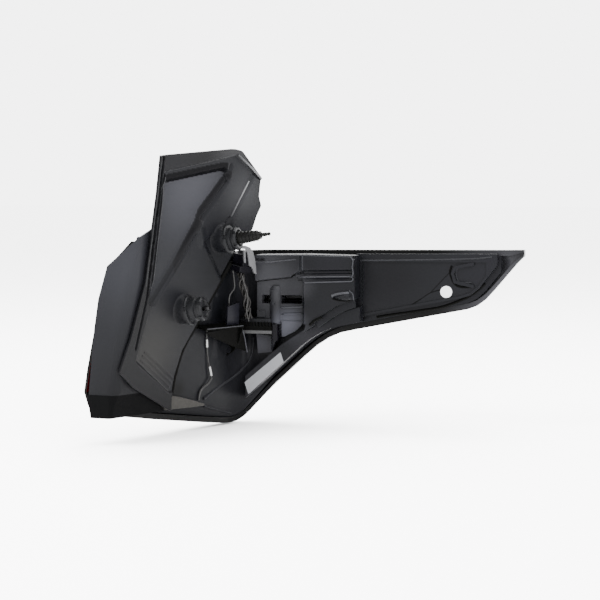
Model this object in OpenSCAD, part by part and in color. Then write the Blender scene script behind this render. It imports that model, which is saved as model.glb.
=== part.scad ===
// Left-hand wrap-round tail light cluster, seen from the side that is fixed to the car.
// Frame: +X towards the car's front, +Y outboard, +Z up, origin at the shoulder of the locating pin.
// The rear face runs across the car, turns a corner and goes on as a tapering side arm.

/* [Lens plan] */
// Sweep of the rear face from square across the car, in degrees
rear_sweep = 20; // [14:1:24]
// Outward splay of the side arm, in degrees
side_splay = 5; // [2:1:8]
// Plan radius of the lens at the corner
corner_r = 85; // [75:1:95]
// Rearmost point of the lens at its inboard end
lens_x = -160; // [-170:1:-155]
// Inboard end of the lens
lens_y = -145.5; // [-150:0.5:-140]
// Outer face of the side arm, measured at the middle of the arm
side_y = 108; // [104:1:114]
// Place of the middle of the arm along the car
side_x = 60; // [50:1:70]
// Front tip of the lens
tip_x = 288; // [280:1:300]

/* [Lens edges] */
// Height of the top edge at the inboard end
rear_top_z = -3; // [-8:1:0]
// Fall of the top edge along the rear face, for each millimetre forward
top_fall = 0.26; // [0.2:0.01:0.3]
// Height of the bottom edge at the inboard end
rear_bottom_z = -200; // [-206:1:-194]
// Fall of the bottom edge along the rear face
bottom_fall = 0.454; // [0.4:0.01:0.5]
// Climb of the bottom edge from the keel to the knee
sweep_climb = 0.93; // [0.88:0.01:0.98]
// Climb of the bottom edge along the arm
arm_climb = 0.2; // [0.17:0.01:0.23]
// Climb of the bottom edge at the front tip
toe_climb = 1.2; // [1:0.05:1.3]
// Place of the keel, where the bottom edge turns up
keel_x = -75; // [-80:1:-70]
// Place of the knee, where the arm begins
knee_x = 49; // [44:1:54]
// Place of the toe, where the arm turns up to its tip
toe_x = 236; // [230:1:240]

/* [Lens shell] */
// Wall of the lens
lens_wall = 2.8; // [2.4:0.1:3.2]
// Height of the lip round the lens opening
lip_h = 7; // [6:0.5:8]
// Depth of the lens rim on the side arm
side_rim = 14; // [13:0.5:15]
// Depth of the top rim at the inboard end
rear_top_rim = 62; // [61:0.5:63]
// Depth of the bottom rim at the inboard end
rear_bottom_rim = 28; // [26:0.5:30]

/* [Housing] */
// Wall of the housing
housing_wall = 2.5; // [2:0.1:3]
// Gap between the lens lip and the housing
lip_gap = 0.4; // [0.3:0.1:0.6]
// Depth of the housing floor behind the lens, on the side arm
side_depth = 20; // [19:0.5:21]
// Depth of the raised arm panel behind the lens
arm_depth = 30; // [28:0.5:32]
// Depth of the label flange
flange_depth = 44; // [42:1:46]
// Depth of the stepped block
block_depth = 56; // [54:1:58]
// Lean of the mounting panel from upright, in degrees
panel_lean = 10; // [8:1:11]
// Distance from the front of the mounting panel to the housing wall behind it
wall_back = 12; // [11:0.5:13]

/* [Mounting panel] */
// Wall of the mounting panel
panel_wall = 2.5; // [2:0.1:3]
// Height of the raised margin round the panel
margin_h = 3; // [2:0.5:4]
// Depth of the dished recess
recess_depth = 4; // [3:0.5:5]
// Width of the foam gasket round the lower boss
gasket_t = 4; // [3:0.5:5]

/* [Fixings] */
// Upward tilt of the fixing axes, in degrees
stud_tilt = 8; // [6:1:10]
// Reach from the panel to the shoulder of the locating pin
pin_reach = 51; // [48:0.5:54]
// Radius of the ribbed barrel at its thick end
barrel_r = 7.75; // [7:0.25:8.5]
// Radius of the locating pin
pin_r = 2.2; // [1.8:0.1:2.6]
// Length of the locating pin beyond its shoulder
pin_l = 12; // [10:1:14]
// Radius of the flange of the fixing grommets
grommet_r = 17.5; // [16.5:0.25:18]
// Radius of the cap of the fixing grommets
cap_r = 14; // [13:0.5:15]
// Length of the upper grommet
upper_grommet_l = 14; // [13:0.5:16]
// Length of the lower grommet
lower_grommet_l = 20; // [18:0.5:24]
// Radius of the threaded stud
stud_r = 3; // [2.5:0.25:3.5]
// Length of the stud beyond the lower grommet
stud_out = 6; // [5:0.5:8]

/* [Inside] */
// Gap from the lens surface to the face of the bezel
bezel_gap = 10; // [9.5:0.1:10.5]
// Wall of the bezel
bezel_wall = 2; // [1.6:0.1:2.2]
// Radius of the light guides
guide_r = 2.4; // [2:0.1:2.6]
// Thickness of the printed boards
board_t = 1.6; // [1.2:0.1:1.8]
// Side of one light-emitting diode
led_w = 3.5; // [3:0.5:4]

/* [Loom] */
// Radius of one wire
wire_r = 1.3; // [1:0.1:1.5]
// Twist radius of the wire bundle
twist_r = 2.6; // [2.4:0.1:3]
// Radius of the vent membrane
vent_r = 7; // [6:0.5:8]
// Thickness of the blank label
label_t = 0.4; // [0.2:0.1:0.6]

/* [Hidden] */
$fn = 48;
fit = 0.3;
sink = 1;
far = 400;

// Plan of the lens: a straight rear run, a corner arc and a straight side run
rear_heading = 90 - rear_sweep;
function along(h) = [cos(h), sin(h)];
function outward(h) = [-sin(h), cos(h)];
lens_start = [lens_x, lens_y];
side_mid = [side_x, side_y];
rear_meet = cross(side_mid - lens_start, along(side_splay)) / cross(along(rear_heading), along(side_splay));
turn = rear_heading - side_splay;
rear_run = rear_meet - corner_r * tan(turn / 2);
corner_run = corner_r * turn * PI / 180;
corner_end = rear_run + corner_run;
corner_centre = lens_start + rear_run * along(rear_heading) - corner_r * outward(rear_heading);
side_start = corner_centre + corner_r * outward(side_splay);
function heading(u) = u <= rear_run ? rear_heading
    : u >= corner_end ? side_splay
    : rear_heading - (u - rear_run) / corner_r * 180 / PI;
function plan(u) = u <= rear_run ? lens_start + u * along(rear_heading)
    : u >= corner_end ? side_start + (u - corner_end) * along(side_splay)
    : corner_centre + corner_r * outward(heading(u));

// Edges of the lens, as heights over the place along the car
function ramp(d, r) = d <= -r ? 0 : d >= r ? d : (d + r) * (d + r) / (4 * r);
function top_z(x) = rear_top_z - top_fall * (x - lens_x) + (top_fall + 0.008) * ramp(x + 95, 15);
function bottom_z(x) = rear_bottom_z - bottom_fall * (x - lens_x)
    + (sweep_climb + bottom_fall) * ramp(x - keel_x, 20)
    + (arm_climb - sweep_climb) * ramp(x - knee_x, 25)
    + (toe_climb - arm_climb) * ramp(x - toe_x, 14);
tip_h = 8;
function low_z(x) = min(bottom_z(x), top_z(x) - tip_h);

// Edge heights moved in from the lens outline by a set distance
function edge_slope(x) = (bottom_z(x + 1) - bottom_z(x - 1)) / 2;
function inset_low(x, d) = bottom_z(x) + d * sqrt(1 + pow(edge_slope(x), 2));
function inset_top(x, d) = top_z(x) - d;
function inset_tip(d) = max([for (x = [side_x:1:tip_x]) if (inset_top(x, d) - inset_low(x, d) > 2) x]);

// Lean of the lens surface: share of the height, and distance in from the widest line
rear_lean = [[0, 9], [0.06, 4], [0.13, 0], [0.26, 4], [0.48, 12.5], [0.665, 21], [0.8, 26], [0.87, 33],
    [0.95, 48], [1, 57]];
side_lean = [6, 2, 0.5, 0, 0, 1, 2, 3, 5, 8];
function smooth(k) = let (c = max(0, min(1, k))) c * c * (3 - 2 * c);
function mix(a, b, k) = a + (b - a) * k;
function rear_share(u) = smooth((corner_end - u) / (corner_run + 40));
function lean_at(u, i) = mix(side_lean[i], rear_lean[i][1], rear_share(u));
function lean_points(u) = [for (i = [0:len(rear_lean) - 1]) [rear_lean[i][0], lean_at(u, i)]];
function lean_of(u, t) = lookup(t, lean_points(u));

// A point of a cross section: place along the plan, distance out from it, and height
skew_run = 90;
function place(u, off, z) =
    let (v = u - max(0, 1 - u / skew_run) * tan(rear_sweep) * off)
    let (p = plan(v) + off * outward(heading(v)))
    [p.x, p.y, z];
function ring(u, pts) = [for (p = pts) place(u, p.x, p.y)];

// A line of section points moved to its left by a wall
function left_of(a, b) = let (d = b - a) [-d.y, d.x] / norm(d);
function moved_line(pts, w) = let (n = len(pts) - 1) [for (i = [0:n])
    let (before = i > 0 ? left_of(pts[i - 1], pts[i]) : left_of(pts[0], pts[1]))
    let (after = i < n ? left_of(pts[i], pts[i + 1]) : before)
    let (m = before + after)
    pts[i] + m * 2 * w / (m * m)];
function reversed(list) = [for (i = [len(list) - 1:-1:0]) list[i]];
function walled(line, w) = concat(line, reversed(moved_line(line, w)));

// Skin over a row of rings that all have the same number of points
module skin(rings) {
    n = len(rings[0]);
    last = len(rings) - 1;
    sides = [for (k = [0:last - 1], i = [0:n - 1]) each [
        [k * n + i, (k + 1) * n + i, k * n + (i + 1) % n],
        [k * n + (i + 1) % n, (k + 1) * n + i, (k + 1) * n + (i + 1) % n]]];
    caps = [[for (i = [0:n - 1]) i], [for (i = [n - 1:-1:0]) last * n + i]];
    polyhedron([for (r = rings) each r], concat(sides, caps));
}

// Stations along the plan: even steps on the straights, closer steps round the corner
function stations(from, to, steps) = [for (i = [0:steps]) from + (to - from) * i / steps];
function run_to(x) = corner_end + (x - side_start.x) / cos(side_splay);
rear_stations = stations(0, rear_run, 5);
corner_stations = stations(rear_run + corner_run / 8, corner_end, 7);
closed_from = 262;
arm_stations = [for (x = [0, 20, 35, 50, 65, 85, 120, 160, 200, 222, 233, 243, 253, closed_from]) run_to(x)];
nose_stations = [for (x = [272, 281, tip_x]) run_to(x)];
body_stations = concat(rear_stations, corner_stations, arm_stations);

// Frames: the side arm, the leaning mounting panel and the tilted fixings
module side_frame() translate([side_x, side_y, 0]) rotate([0, 0, side_splay]) children();
module side_plate(near, deep) side_frame()
    translate([0, -near, 0]) rotate([90, 0, 0]) linear_extrude(deep - near) children();
panel_seat = [-31, 0, -4.3];
module on_panel() translate(panel_seat) rotate([0, 0, -rear_sweep]) rotate([0, panel_lean, 0]) children();
module panel_plate(from, to) on_panel()
    translate([from, 0, 0]) rotate([90, 0, 90]) linear_extrude(to - from) children();
function panel_point(w, v) = panel_seat + w * [sin(rear_sweep), cos(rear_sweep), 0]
    + v * [sin(panel_lean) * cos(rear_sweep), -sin(panel_lean) * sin(rear_sweep), cos(panel_lean)];
upper_spot = [-28.7, -0.8];
lower_spot = [-80, -83];
module stud_axis(spot) translate(panel_point(spot.x, spot.y)) rotate([0, 90 - stud_tilt, 0]) children();
pin_shoulder = panel_point(upper_spot.x, upper_spot.y) + pin_reach * [cos(stud_tilt), 0, sin(stud_tilt)];
module datum() translate(-pin_shoulder) children();

// Round-ended bar between two points, a little narrower between its ends
waist = 0.96;
module bar(p, q, w) {
    translate(p) circle(d = w);
    translate(q) circle(d = w);
    translate((p + q) / 2) rotate(atan2(q.y - p.y, q.x - p.x)) square([norm(q - p), w * waist], center = true);
}

// Outer lens: C-shaped section with lips, closed to a solid nose at the tip
function lens_line(u, x) =
    let (zt = top_z(x), zb = low_z(x), h = zt - zb, lip = min(lip_h, h * 0.3))
    let (rim_top = mix(side_rim, rear_top_rim, rear_share(u)))
    let (rim_low = mix(side_rim, rear_bottom_rim, rear_share(u)))
    concat([[-rim_low, zb + lip], [-rim_low, zb]],
        [for (p = lean_points(u)) [-p[1] * min(1, h / 30), zb + p[0] * h]],
        [[-rim_top, zt], [-rim_top, zt - lip]]);
function nose_back(line) =
    let (n = len(line) - 1, off = line[0].x + lens_wall, top = line[n].y, low = line[0].y)
    [for (i = [n:-1:0]) [off, low + (top - low) * i / n]];
module outer_lens() datum() color([0.42, 0.05, 0.06])
    skin(concat(
        [for (u = body_stations) ring(u, walled(lens_line(u, plan(u).x), lens_wall))],
        [for (u = nose_stations) let (line = lens_line(u, plan(u).x)) ring(u, concat(line, nose_back(line)))]));

// Depth of the housing wall behind the lens, at its lower and upper edge
housing_inset = lip_h + lip_gap;
function panel_depth(z) = let (reach = (panel_seat.x - lens_x) * cos(rear_sweep) + lens_y * sin(rear_sweep))
    reach + tan(panel_lean) * (z - panel_seat.z) - wall_back / cos(panel_lean);
function wall_depth(u, z) = mix(side_depth, panel_depth(z), rear_share(u));
function tray_line(u) =
    let (x = plan(u).x, zt = inset_top(x, housing_inset), zb = inset_low(x, housing_inset))
    let (deep_top = wall_depth(u, zt), deep_low = wall_depth(u, zb))
    let (reach_top = min(lean_of(u, 0.93) + 8, deep_top - 4), reach_low = lean_of(u, 0.06) + 8)
    [[-reach_top, zt], [-deep_top, zt], [-deep_low, zb], [-reach_low, zb]];
module housing_tray() skin([for (u = body_stations) ring(u, walled(tray_line(u), housing_wall))]);

// Outline of the arm in side view, moved in from the lens by two distances
module arm_outline(top_in, low_in, from, to) {
    xs = [for (i = [0:16]) from + (to - from) * i / 16];
    polygon(concat([for (x = xs) [x - side_x, inset_low(x, low_in)]],
        [for (x = reversed(xs)) [x - side_x, inset_top(x, top_in)]]));
}

// Stepped block, ridges and bosses of the housing, in the side frame
block_left = -90;
block_mid = -30;
block_right = 33;
window_low = -83;
window_high = -73;
tube_x = -66;
tube_r = 6.5;
mid_depth = block_depth - 6;
tube_low = -108;
comb_low = -116;
comb_left = -110;
comb_depth = block_depth;
touch = 0.05;
module stepped_block() {
    side_plate(side_depth - sink, block_depth) polygon([[block_mid, -23], [block_right, -24],
        [block_right, -76], [12, -84], [-6, -95], [-24, -108], [block_mid, -108]]);
    side_plate(side_depth - sink, block_depth + 2) polygon([[block_left, -24], [block_mid, -23],
        [block_mid, -40], [-43, -49], [block_left, -56]]);
    difference() {
        side_plate(side_depth - sink, mid_depth)
            polygon([[block_left, -50], [block_mid, -40], [block_mid, -108], [block_left, -104]]);
        side_plate(side_depth + 4, block_depth)
            polygon([[block_left + 6, window_low], [block_mid - 4, window_low],
                [block_mid - 4, window_high], [block_left + 6, window_high]]);
    }
    side_plate(block_depth - sink, block_depth + 3) bar([-38, -49], [31, -48], 3);
    side_plate(block_depth - sink, block_depth + 3) bar([-30, -57], [31, -54], 2.4);
    side_plate(block_depth - sink, block_depth + 4) polygon([[2, -72], [12, -67.5], [29, -65.5],
        [32, -68], [32, -73], [22, -75]]);
    for (z = [-88, -96]) side_plate(mid_depth - sink, mid_depth + 4) bar([-55, z], [-34, z + 1], 2.2);
    side_plate(side_depth + 8, mid_depth) polygon([[-92, -121], [-73, -123], [-73, -143], [-90, -145]]);
    side_plate(side_depth + 8, mid_depth - 4)
        polygon([[-88, -143], [-74, -141], [-60, -112], [-60, -104], [-80, -104]]);
    side_frame() translate([tube_x, -mid_depth, tube_low]) cylinder(r = tube_r, h = 46);
    side_plate(mid_depth - 20, comb_depth - touch)
        polygon([[comb_left, comb_low + 3], [tube_x - 6, comb_low + 3], [tube_x - 6, -102], [comb_left, -102]]);
}

// Diagonal flange that carries the label, with its tab
flange_from = -48;
flange_to = 96;
module label_flange() {
    difference() {
        side_plate(side_depth - sink, flange_depth) polygon(concat(
            [for (x = [flange_from:12:flange_to]) [x - side_x, inset_low(x, housing_inset + 1.5)]],
            [[36, -86], [12, -94], [-12, -104], [-31, -114], [-63, -135], [-101, -168], [-108, -174]]));
        difference() {
            translate([side_start.x - far, 0, -far]) cube([far, far, 2 * far]);
            translate([corner_centre.x, corner_centre.y, -far])
                cylinder(r = corner_r - side_depth + sink, h = 2 * far);
        }
    }
    side_plate(flange_depth - 2 * sink, block_depth + 2) polygon([[-26, -101], [-12, -95], [-17, -108], [-30, -117]]);
}

// Arm: raised panel with its light line, C-shaped rib and vent seat
arm_from = 88;
vent_spot = [138.3, -67.3];
module arm_panel() {
    difference() {
        side_plate(side_depth - sink, arm_depth)
            arm_outline(housing_inset - 3, 15, arm_from, inset_tip(15));
        side_plate(arm_depth - 2, arm_depth + sink)
            arm_outline(housing_inset + 7, 18, arm_from + 8, inset_tip(22));
        side_plate(side_depth - far, far) translate(vent_spot) circle(r = vent_r / 2);
    }
    side_plate(arm_depth - 2 - sink, arm_depth + 1) {
        bar([170, -33.5], [150, -38], 4);
        bar([150, -38], [146, -45], 4);
        bar([146, -45], [149, -55], 4);
        bar([149, -55], [170, -60], 4);
    }
}

// Bosses that carry the fixings and the rear board
board_posts = [[-118, -55], [-10, -70], [-118, -150], [-22, -158]];
side_posts = [[8, -54], [8, -72], [120, -50], [120, -62]];
boss_r = 9;
side_post_h = 0.8;
post_r = 5;
panel_posts = [[-92, -44], [-122, -128], [-40, -76]];
module rear_bosses() {
    panel_plate(-wall_back - sink, -panel_wall - fit) translate(lower_spot) circle(r = boss_r);
    for (spot = panel_posts) panel_plate(-wall_back - sink, -panel_wall - fit) translate(spot) circle(r = post_r);
    for (spot = board_posts)
        panel_plate(-wall_back - 5, -wall_back - sink) translate(spot) circle(r = 3);
    for (spot = side_posts)
        side_plate(side_depth - housing_wall - side_post_h, side_depth - 1) translate(spot) circle(r = 3);
    on_panel() box_at([-wall_back - 6, connector_low.y + 2, connector_low.z + 1],
        [connector_low.x - touch, connector_high.y - 2, connector_low.z + 9]);
}
module stud_holes() for (spot = [upper_spot, lower_spot])
    stud_axis(spot) translate([0, 0, -20]) cylinder(r = stud_r + fit, h = 40);
module lamp_housing() datum() color([0.16, 0.16, 0.18]) difference() {
    union() {
        housing_tray();
        stepped_block();
        label_flange();
        arm_panel();
        rear_bosses();
    }
    stud_holes();
}

// Mounting panel, in its own width and height
panel_edge = [[-146, 98], [-145, 54], [-147, -45], [-153, -77], [-159, -109], [-171, -148], [-146, -168],
    [-80, -203], [-82, -187], [-80, -160], [-72, -130], [-54, -102], [-32, -67], [-4, -22], [21, 13],
    [25, 28], [31, 41], [25, 52], [24, 70], [27, 74], [-14, 106], [-27, 108]];
panel_inner = [[-136, 84], [-132, -71], [-139, -136], [-84, -183], [60, -183], [60, 66], [24, 66], [-17, 98],
    [-27, 99]];
recess_edge = [[-130, 70], [-30, 82], [-66, 27], [-82, 4], [-129, -66]];
plateau_edge = [[-22, 83], [5, 68], [-17, 27], [-60, 27]];
module margin(grow, from, to) panel_plate(from, to) difference() {
    polygon(panel_edge);
    offset(delta = grow) polygon(panel_inner);
}
seat_lift = 9.2;
seat_r = grommet_r - 1.5;
module mounting_panel() datum() color([0.28, 0.28, 0.31]) difference() {
    union() {
        difference() {
            panel_plate(-panel_wall, 0) polygon(panel_edge);
            panel_plate(-panel_wall - 1, 1) polygon(recess_edge);
        }
        panel_plate(-recess_depth - panel_wall, -panel_wall / 2) difference() {
            offset(delta = panel_wall) polygon(recess_edge);
            polygon(recess_edge);
        }
        panel_plate(-recess_depth - panel_wall, -recess_depth) polygon(recess_edge);
        margin(0, -sink, margin_h * 0.5);
        margin(6, -sink, margin_h);
        panel_plate(-sink, 2.5) polygon(plateau_edge);
        for (spot = [upper_spot, lower_spot]) intersection() {
            stud_axis(spot) translate([0, 0, -10]) cylinder(r = seat_r, h = seat_lift + 10);
            panel_plate(-panel_wall / 2, 40) square(far, center = true);
        }
    }
    stud_holes();
}

// Foam gasket round the lower boss, squeezed between the panel and the housing wall
module panel_gasket() datum() color([0.1, 0.1, 0.1]) panel_plate(-wall_back + fit, -panel_wall - fit)
    translate(lower_spot) difference() {
        circle(r = boss_r + gasket_t);
        circle(r = boss_r + fit);
    }

// Side cover: one shell from the end of the lens round to behind the panel, thicker at its skirt
cover_t = 2.2;
cover_y = lens_y - fit - cover_t;
cover_left = [[-203.5, -150], [-183, -153.5], [-166, -151.7], [-137, -148.8], [-103, -145.3], [-69, -139.9],
    [-31, -128.3], [-1.4, -92], [1.5, -91]];
cover_run = [[-203.5, 87], [-189, 68], [-172, 36], [-152, 13], [-112, 11], [-80, 15], [-49, 20], [1.5, 19]];
cover_turn = [[-203.5, 4], [-190, 5], [-172, 15], [-49, 15], [-31, 11], [-16, 4], [1.5, 3]];
skirt_top = -177.5;
skirt_t = 1.2;
cover_levels = [-203.5, -195, -186, skirt_top, skirt_top + 0.1, -170, -160, -150, -137, -120, -103, -86, -69,
    -49, -31, -16, -6, -1.4, 1.5];
function skirt(z) = z <= skirt_top ? skirt_t : 0;
function cover_corner(z) =
    let (out = -panel_wall - fit - skirt(z), v = (z - panel_seat.z + out * sin(panel_lean)) / cos(panel_lean))
    let (ahead = out * cos(panel_lean) + v * sin(panel_lean))
    let (w = (cover_y - panel_seat.y + ahead * sin(rear_sweep)) / cos(rear_sweep))
    panel_seat.x + ahead * cos(rear_sweep) + w * sin(rear_sweep);
function cover_line(z) =
    let (k = cover_corner(z), left = lookup(z, cover_left), run = lookup(z, cover_run))
    let (share = tan(rear_heading / 2), r = min(lookup(z, cover_turn), (run - 1) / share))
    let (start = k - r * share)
    concat([[left, cover_y], [(left + start) / 2, cover_y]],
        [for (i = [0:6]) [start + r * sin(rear_heading * i / 6), cover_y + r * (1 - cos(rear_heading * i / 6))]],
        [[k + run * sin(rear_sweep), cover_y + run * cos(rear_sweep)]]);
function cover_ring(z) =
    [for (p = walled(moved_line(cover_line(z), -skirt(z)), cover_t + skirt(z))) [p.x, p.y, z]];
module side_cover() datum() color([0.25, 0.25, 0.28]) skin([for (z = cover_levels) cover_ring(z)]);

// Bezel behind the lens, a thin band that follows the lens at a set gap
bezel_inset = housing_inset + housing_wall + 0.5;
function bezel_line(u) =
    let (x = plan(u).x, zt = inset_top(x, bezel_inset + 13 * rear_share(u)), zb = inset_low(x, bezel_inset))
    let (h = top_z(x) - low_z(x))
    [for (i = [0:8]) let (z = mix(zb, zt, i / 8), t = (z - low_z(x)) / h)
        [-min(lean_of(u, t) + bezel_gap, wall_depth(u, z) - housing_wall - bezel_wall - 1.5), z]];
bezel_stations = [for (u = body_stations) if (u <= run_to(251)) u];
module inner_bezel() datum() color([0.1, 0.1, 0.11])
    skin([for (u = bezel_stations) let (line = bezel_line(u))
        ring(u, concat(line, [for (p = reversed(line)) p - [bezel_wall, 0]]))]);

// Light guides: round bars that lie on the face of the bezel
function bar_ring(u, t) =
    let (x = plan(u).x, z = mix(low_z(x), top_z(x), t))
    let (face = lookup(z, [for (p = bezel_line(u)) [p.y, p.x]]))
    [for (a = [0:45:315]) [face + guide_r + guide_seat + guide_r * cos(a), z + guide_r * sin(a)]];
guide_seat = 0.15;
module light_guide(from, to, t) skin([for (u = body_stations) if (u >= from && u <= to) ring(u, bar_ring(u, t))]);
module rear_light_guide() datum() color([0.8, 0.2, 0.2]) light_guide(1, corner_end, 0.6);
module side_light_guide() datum() color([0.8, 0.2, 0.2]) light_guide(corner_end + 1, run_to(245), 0.5);

// Reflex reflector: a block low behind the rear face of the lens
module reflex_reflector() datum() color([0.6, 0.08, 0.08])
    skin([for (u = rear_stations) if (u > 1) let (x = plan(u).x, zb = low_z(x))
        ring(u, [for (p = [[0.14, 8], [0.14, 3.2], [0.28, 3.2], [0.28, 8]])
            [-lean_of(u, p[0]) - p[1], mix(zb, top_z(x), p[0])]])]);

// Printed boards and their light-emitting diodes
rear_board_x = -wall_back - 5 - fit;
module rear_led_board() datum() color([0.05, 0.3, 0.15]) panel_plate(rear_board_x - board_t, rear_board_x)
    polygon([[-124, -48], [-4, -60], [-4, -158], [-20, -166], [-124, -158]]);
module rear_leds() datum() color([0.9, 0.85, 0.5]) for (row = [0:2], i = [0:5])
    panel_plate(rear_board_x - board_t - 2, rear_board_x - board_t)
        translate([-110 + i * 19, -68 - row * 36]) square(led_w, center = true);
side_board_y = side_depth - housing_wall - side_post_h - fit;
module side_led_board() datum() color([0.05, 0.3, 0.15]) side_plate(side_board_y - board_t, side_board_y)
    polygon([[0, -48], [0, -80], [60, -72], [128, -68], [128, -44]]);
module side_leds() datum() color([0.9, 0.85, 0.5]) for (i = [0:7])
    side_plate(side_board_y - board_t - 1, side_board_y - board_t)
        translate([12 + i * 15, -56 + i * 0.5]) square(led_w, center = true);

// Fixings: grommets with notched rims, ribbed locating pin with ball end, threaded stud
module notched_ring(l, bore, notches) difference() {
    rotate_extrude() polygon([[bore, 0], [grommet_r, 0], [grommet_r, 2], [grommet_r - 1, 3.2], [cap_r - 0.5, 3.2],
        [cap_r - 0.5, l * 0.5], [cap_r - 2.5, l * 0.56], [cap_r - 2.5, l * 0.7], [cap_r, l * 0.75],
        [cap_r, l - 1.5], [cap_r - 1.5, l], [cap_r - 4, l], [cap_r - 5, l - 2], [bore, l - 2]]);
    for (a = [0:360 / notches:359]) rotate(a) translate([cap_r - 1.8, -2, l * 0.72]) cube([4, 4, l]);
    for (a = [20:360 / 3:359]) rotate(a) translate([grommet_r - 2.5, -2.5, -1]) cube([4, 5, l]);
}
module upper_grommet() datum() color([0.09, 0.09, 0.1]) stud_axis(upper_spot)
    translate([0, 0, seat_lift + touch]) notched_ring(upper_grommet_l, stud_r + fit, 6);
module lower_grommet() datum() color([0.09, 0.09, 0.1]) stud_axis(lower_spot)
    translate([0, 0, seat_lift + touch]) notched_ring(lower_grommet_l, stud_r + fit, 6);
barrel_l = pin_reach - upper_grommet_l - seat_lift - fit + 2;
ribs = 6;
rib_taper = 0.3;
module locating_pin() datum() color([0.12, 0.12, 0.13]) {
    stud_axis(upper_spot) translate([0, 0, pin_reach]) {
        translate([0, 0, -pin_reach - 4]) cylinder(r = stud_r, h = pin_reach);
        translate([0, 0, -barrel_l]) cylinder(r1 = barrel_r - 1.2, r2 = barrel_r - 3.2, h = barrel_l);
        for (i = [0:ribs - 1]) translate([0, 0, -barrel_l + 0.5 + i * barrel_l / ribs * 0.9])
            cylinder(r = barrel_r - i * rib_taper, h = barrel_l / ribs / 2);
        cylinder(r = pin_r, h = pin_l - 2.2 * pin_r);
        cylinder(r = pin_r * 0.65, h = pin_l - pin_r);
        translate([0, 0, pin_l - pin_r]) sphere(r = pin_r);
    }
    panel_plate(-panel_wall - touch - 3, -panel_wall - touch) translate(upper_spot) circle(r = stud_r + 4);
}
stud_face = seat_lift + touch + lower_grommet_l;
module lower_stud() datum() color([0.5, 0.5, 0.52]) stud_axis(lower_spot) {
    translate([0, 0, -12]) cylinder(r = stud_r - 0.4, h = stud_face + 12 + sink);
    translate([0, 0, stud_face]) cylinder(r = stud_r, h = stud_out);
}

// Connector, its clip and the loom, in the panel frame
module box_at(low, high) translate(low) cube(high - low);
connector_low = [-9, 6, -40];
connector_high = [8, 24, -18];
module wiring_connector() datum() color([0.13, 0.13, 0.16]) on_panel() difference() {
    union() {
        box_at(connector_low, connector_high);
        box_at(connector_low + [2, 5, 20], connector_high + [-2, -3, 4]);
    }
    for (i = [0:2]) translate([2, 9 + i * 5, -41]) cube([4, 3, 8]);
}
module connector_clip() datum() color([0.72, 0.72, 0.74]) on_panel() {
    box_at([8 + fit, 14, -38], [11, 28, -9]);
    box_at([-6, 24 + fit, -38], [11, 28, -9]);
    box_at([8 + fit, 9, -13], [11, 28, -8]);
}

// Wires as tubes swept along points
function tube_rings(pts, r) = let (n = len(pts) - 1) [for (i = [0:n])
    let (d = pts[min(i + 1, n)] - pts[max(i - 1, 0)], t = d / norm(d))
    let (s = cross(t, [0.96, 0.28, 0]), side = s / norm(s), up = cross(t, side))
    [for (a = [0:60:300]) pts[i] + r * (cos(a) * side + sin(a) * up)]];
loom_start = [0, 13, -41];
loom_end = [6, 33, -97];
function loom_point(k, phase) = let (c = loom_start + (loom_end - loom_start) * k)
    c + twist_r * [sin(phase + 520 * k), cos(phase + 520 * k), 0];
module harness_wires() datum() color([0.12, 0.11, 0.11]) on_panel() for (phase = [0, 120, 240])
    skin(tube_rings(concat([loom_point(0, phase) + [0, 0, 0.9]], [for (i = [0:16]) loom_point(i / 16, phase)]),
        wire_r));
pale_routes = [
    [[-4, 9, -40.1], [-4, 9, -42], [0, 4, -50], [4, -4, -60], [3, -2, -70], [2, 2, -84], [0, 4, -101]],
    [[6, 8, -40.1], [6, 8, -42], [7, 5, -52], [8, 1, -64], [7, 5, -76], [5, 8, -88], [4, 9, -101]]];
module pale_leads() datum() color([0.6, 0.6, 0.58]) on_panel() for (route = pale_routes)
    skin(tube_rings(route, wire_r * 0.8));

// Shelf bracket with its curved gusset
shelf_z = -105;
module shelf_bracket() datum() color([0.2, 0.2, 0.22]) on_panel() {
    box_at([-wall_back + fit, -44, shelf_z - 2.2], [8, 22, shelf_z]);
    translate([-wall_back + fit, 22, shelf_z]) rotate([90, 0, 0]) linear_extrude(2.2) difference() {
        polygon([[0, -0.5], [20, -0.5], [17, -20], [10, -34], [0, -42]]);
        translate([1.5, -34]) circle(r = 5);
    }
}

// Contact comb with teeth, its pale strip and the clip under the tube boss
comb_t = 3;
module contact_comb() datum() color([0.07, 0.07, 0.08]) side_frame() {
    translate([comb_left, -comb_depth - comb_t, comb_low]) cube([40, comb_t, 5]);
    for (i = [0:9]) translate([comb_left + i * 4.1, -comb_depth - comb_t, comb_low + 4]) cube([2.4, comb_t, 6]);
}
module comb_strip() datum() color([0.55, 0.55, 0.55]) side_frame()
    translate([comb_left + 2, -comb_depth - comb_t, comb_low - 4 - touch]) cube([38, comb_t, 4]);
module tube_boss_clip() datum() color([0.3, 0.3, 0.32]) side_frame()
    translate([tube_x - 3, -comb_depth - comb_t, tube_low - 20]) cube([6, comb_t + 6, 20 - touch]);

// Pale lead clipped down the housing wall
drain_path = [[-22, -110], [-21, -120], [-18, -134], [-13, -150], [-6, -166], [-3, -173],
    [-8, -179], [-18, -185], [-21, -192], [-21, -199]];
module drain_lead() datum() color([0.65, 0.65, 0.63]) on_panel()
    skin(tube_rings([for (p = drain_path) [-wall_back + wire_r + 2 * touch, p.x, p.y]], wire_r));

// Foam wedge along the bottom of the housing wall
module foam_seal() datum() color([0.42, 0.41, 0.39]) panel_plate(-wall_back + fit, -wall_back + fit + 6)
    polygon([[-84, -186], [-66, -188], [-40, -195], [-14, -203], [-14, -206], [-84, -204]]);

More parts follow.
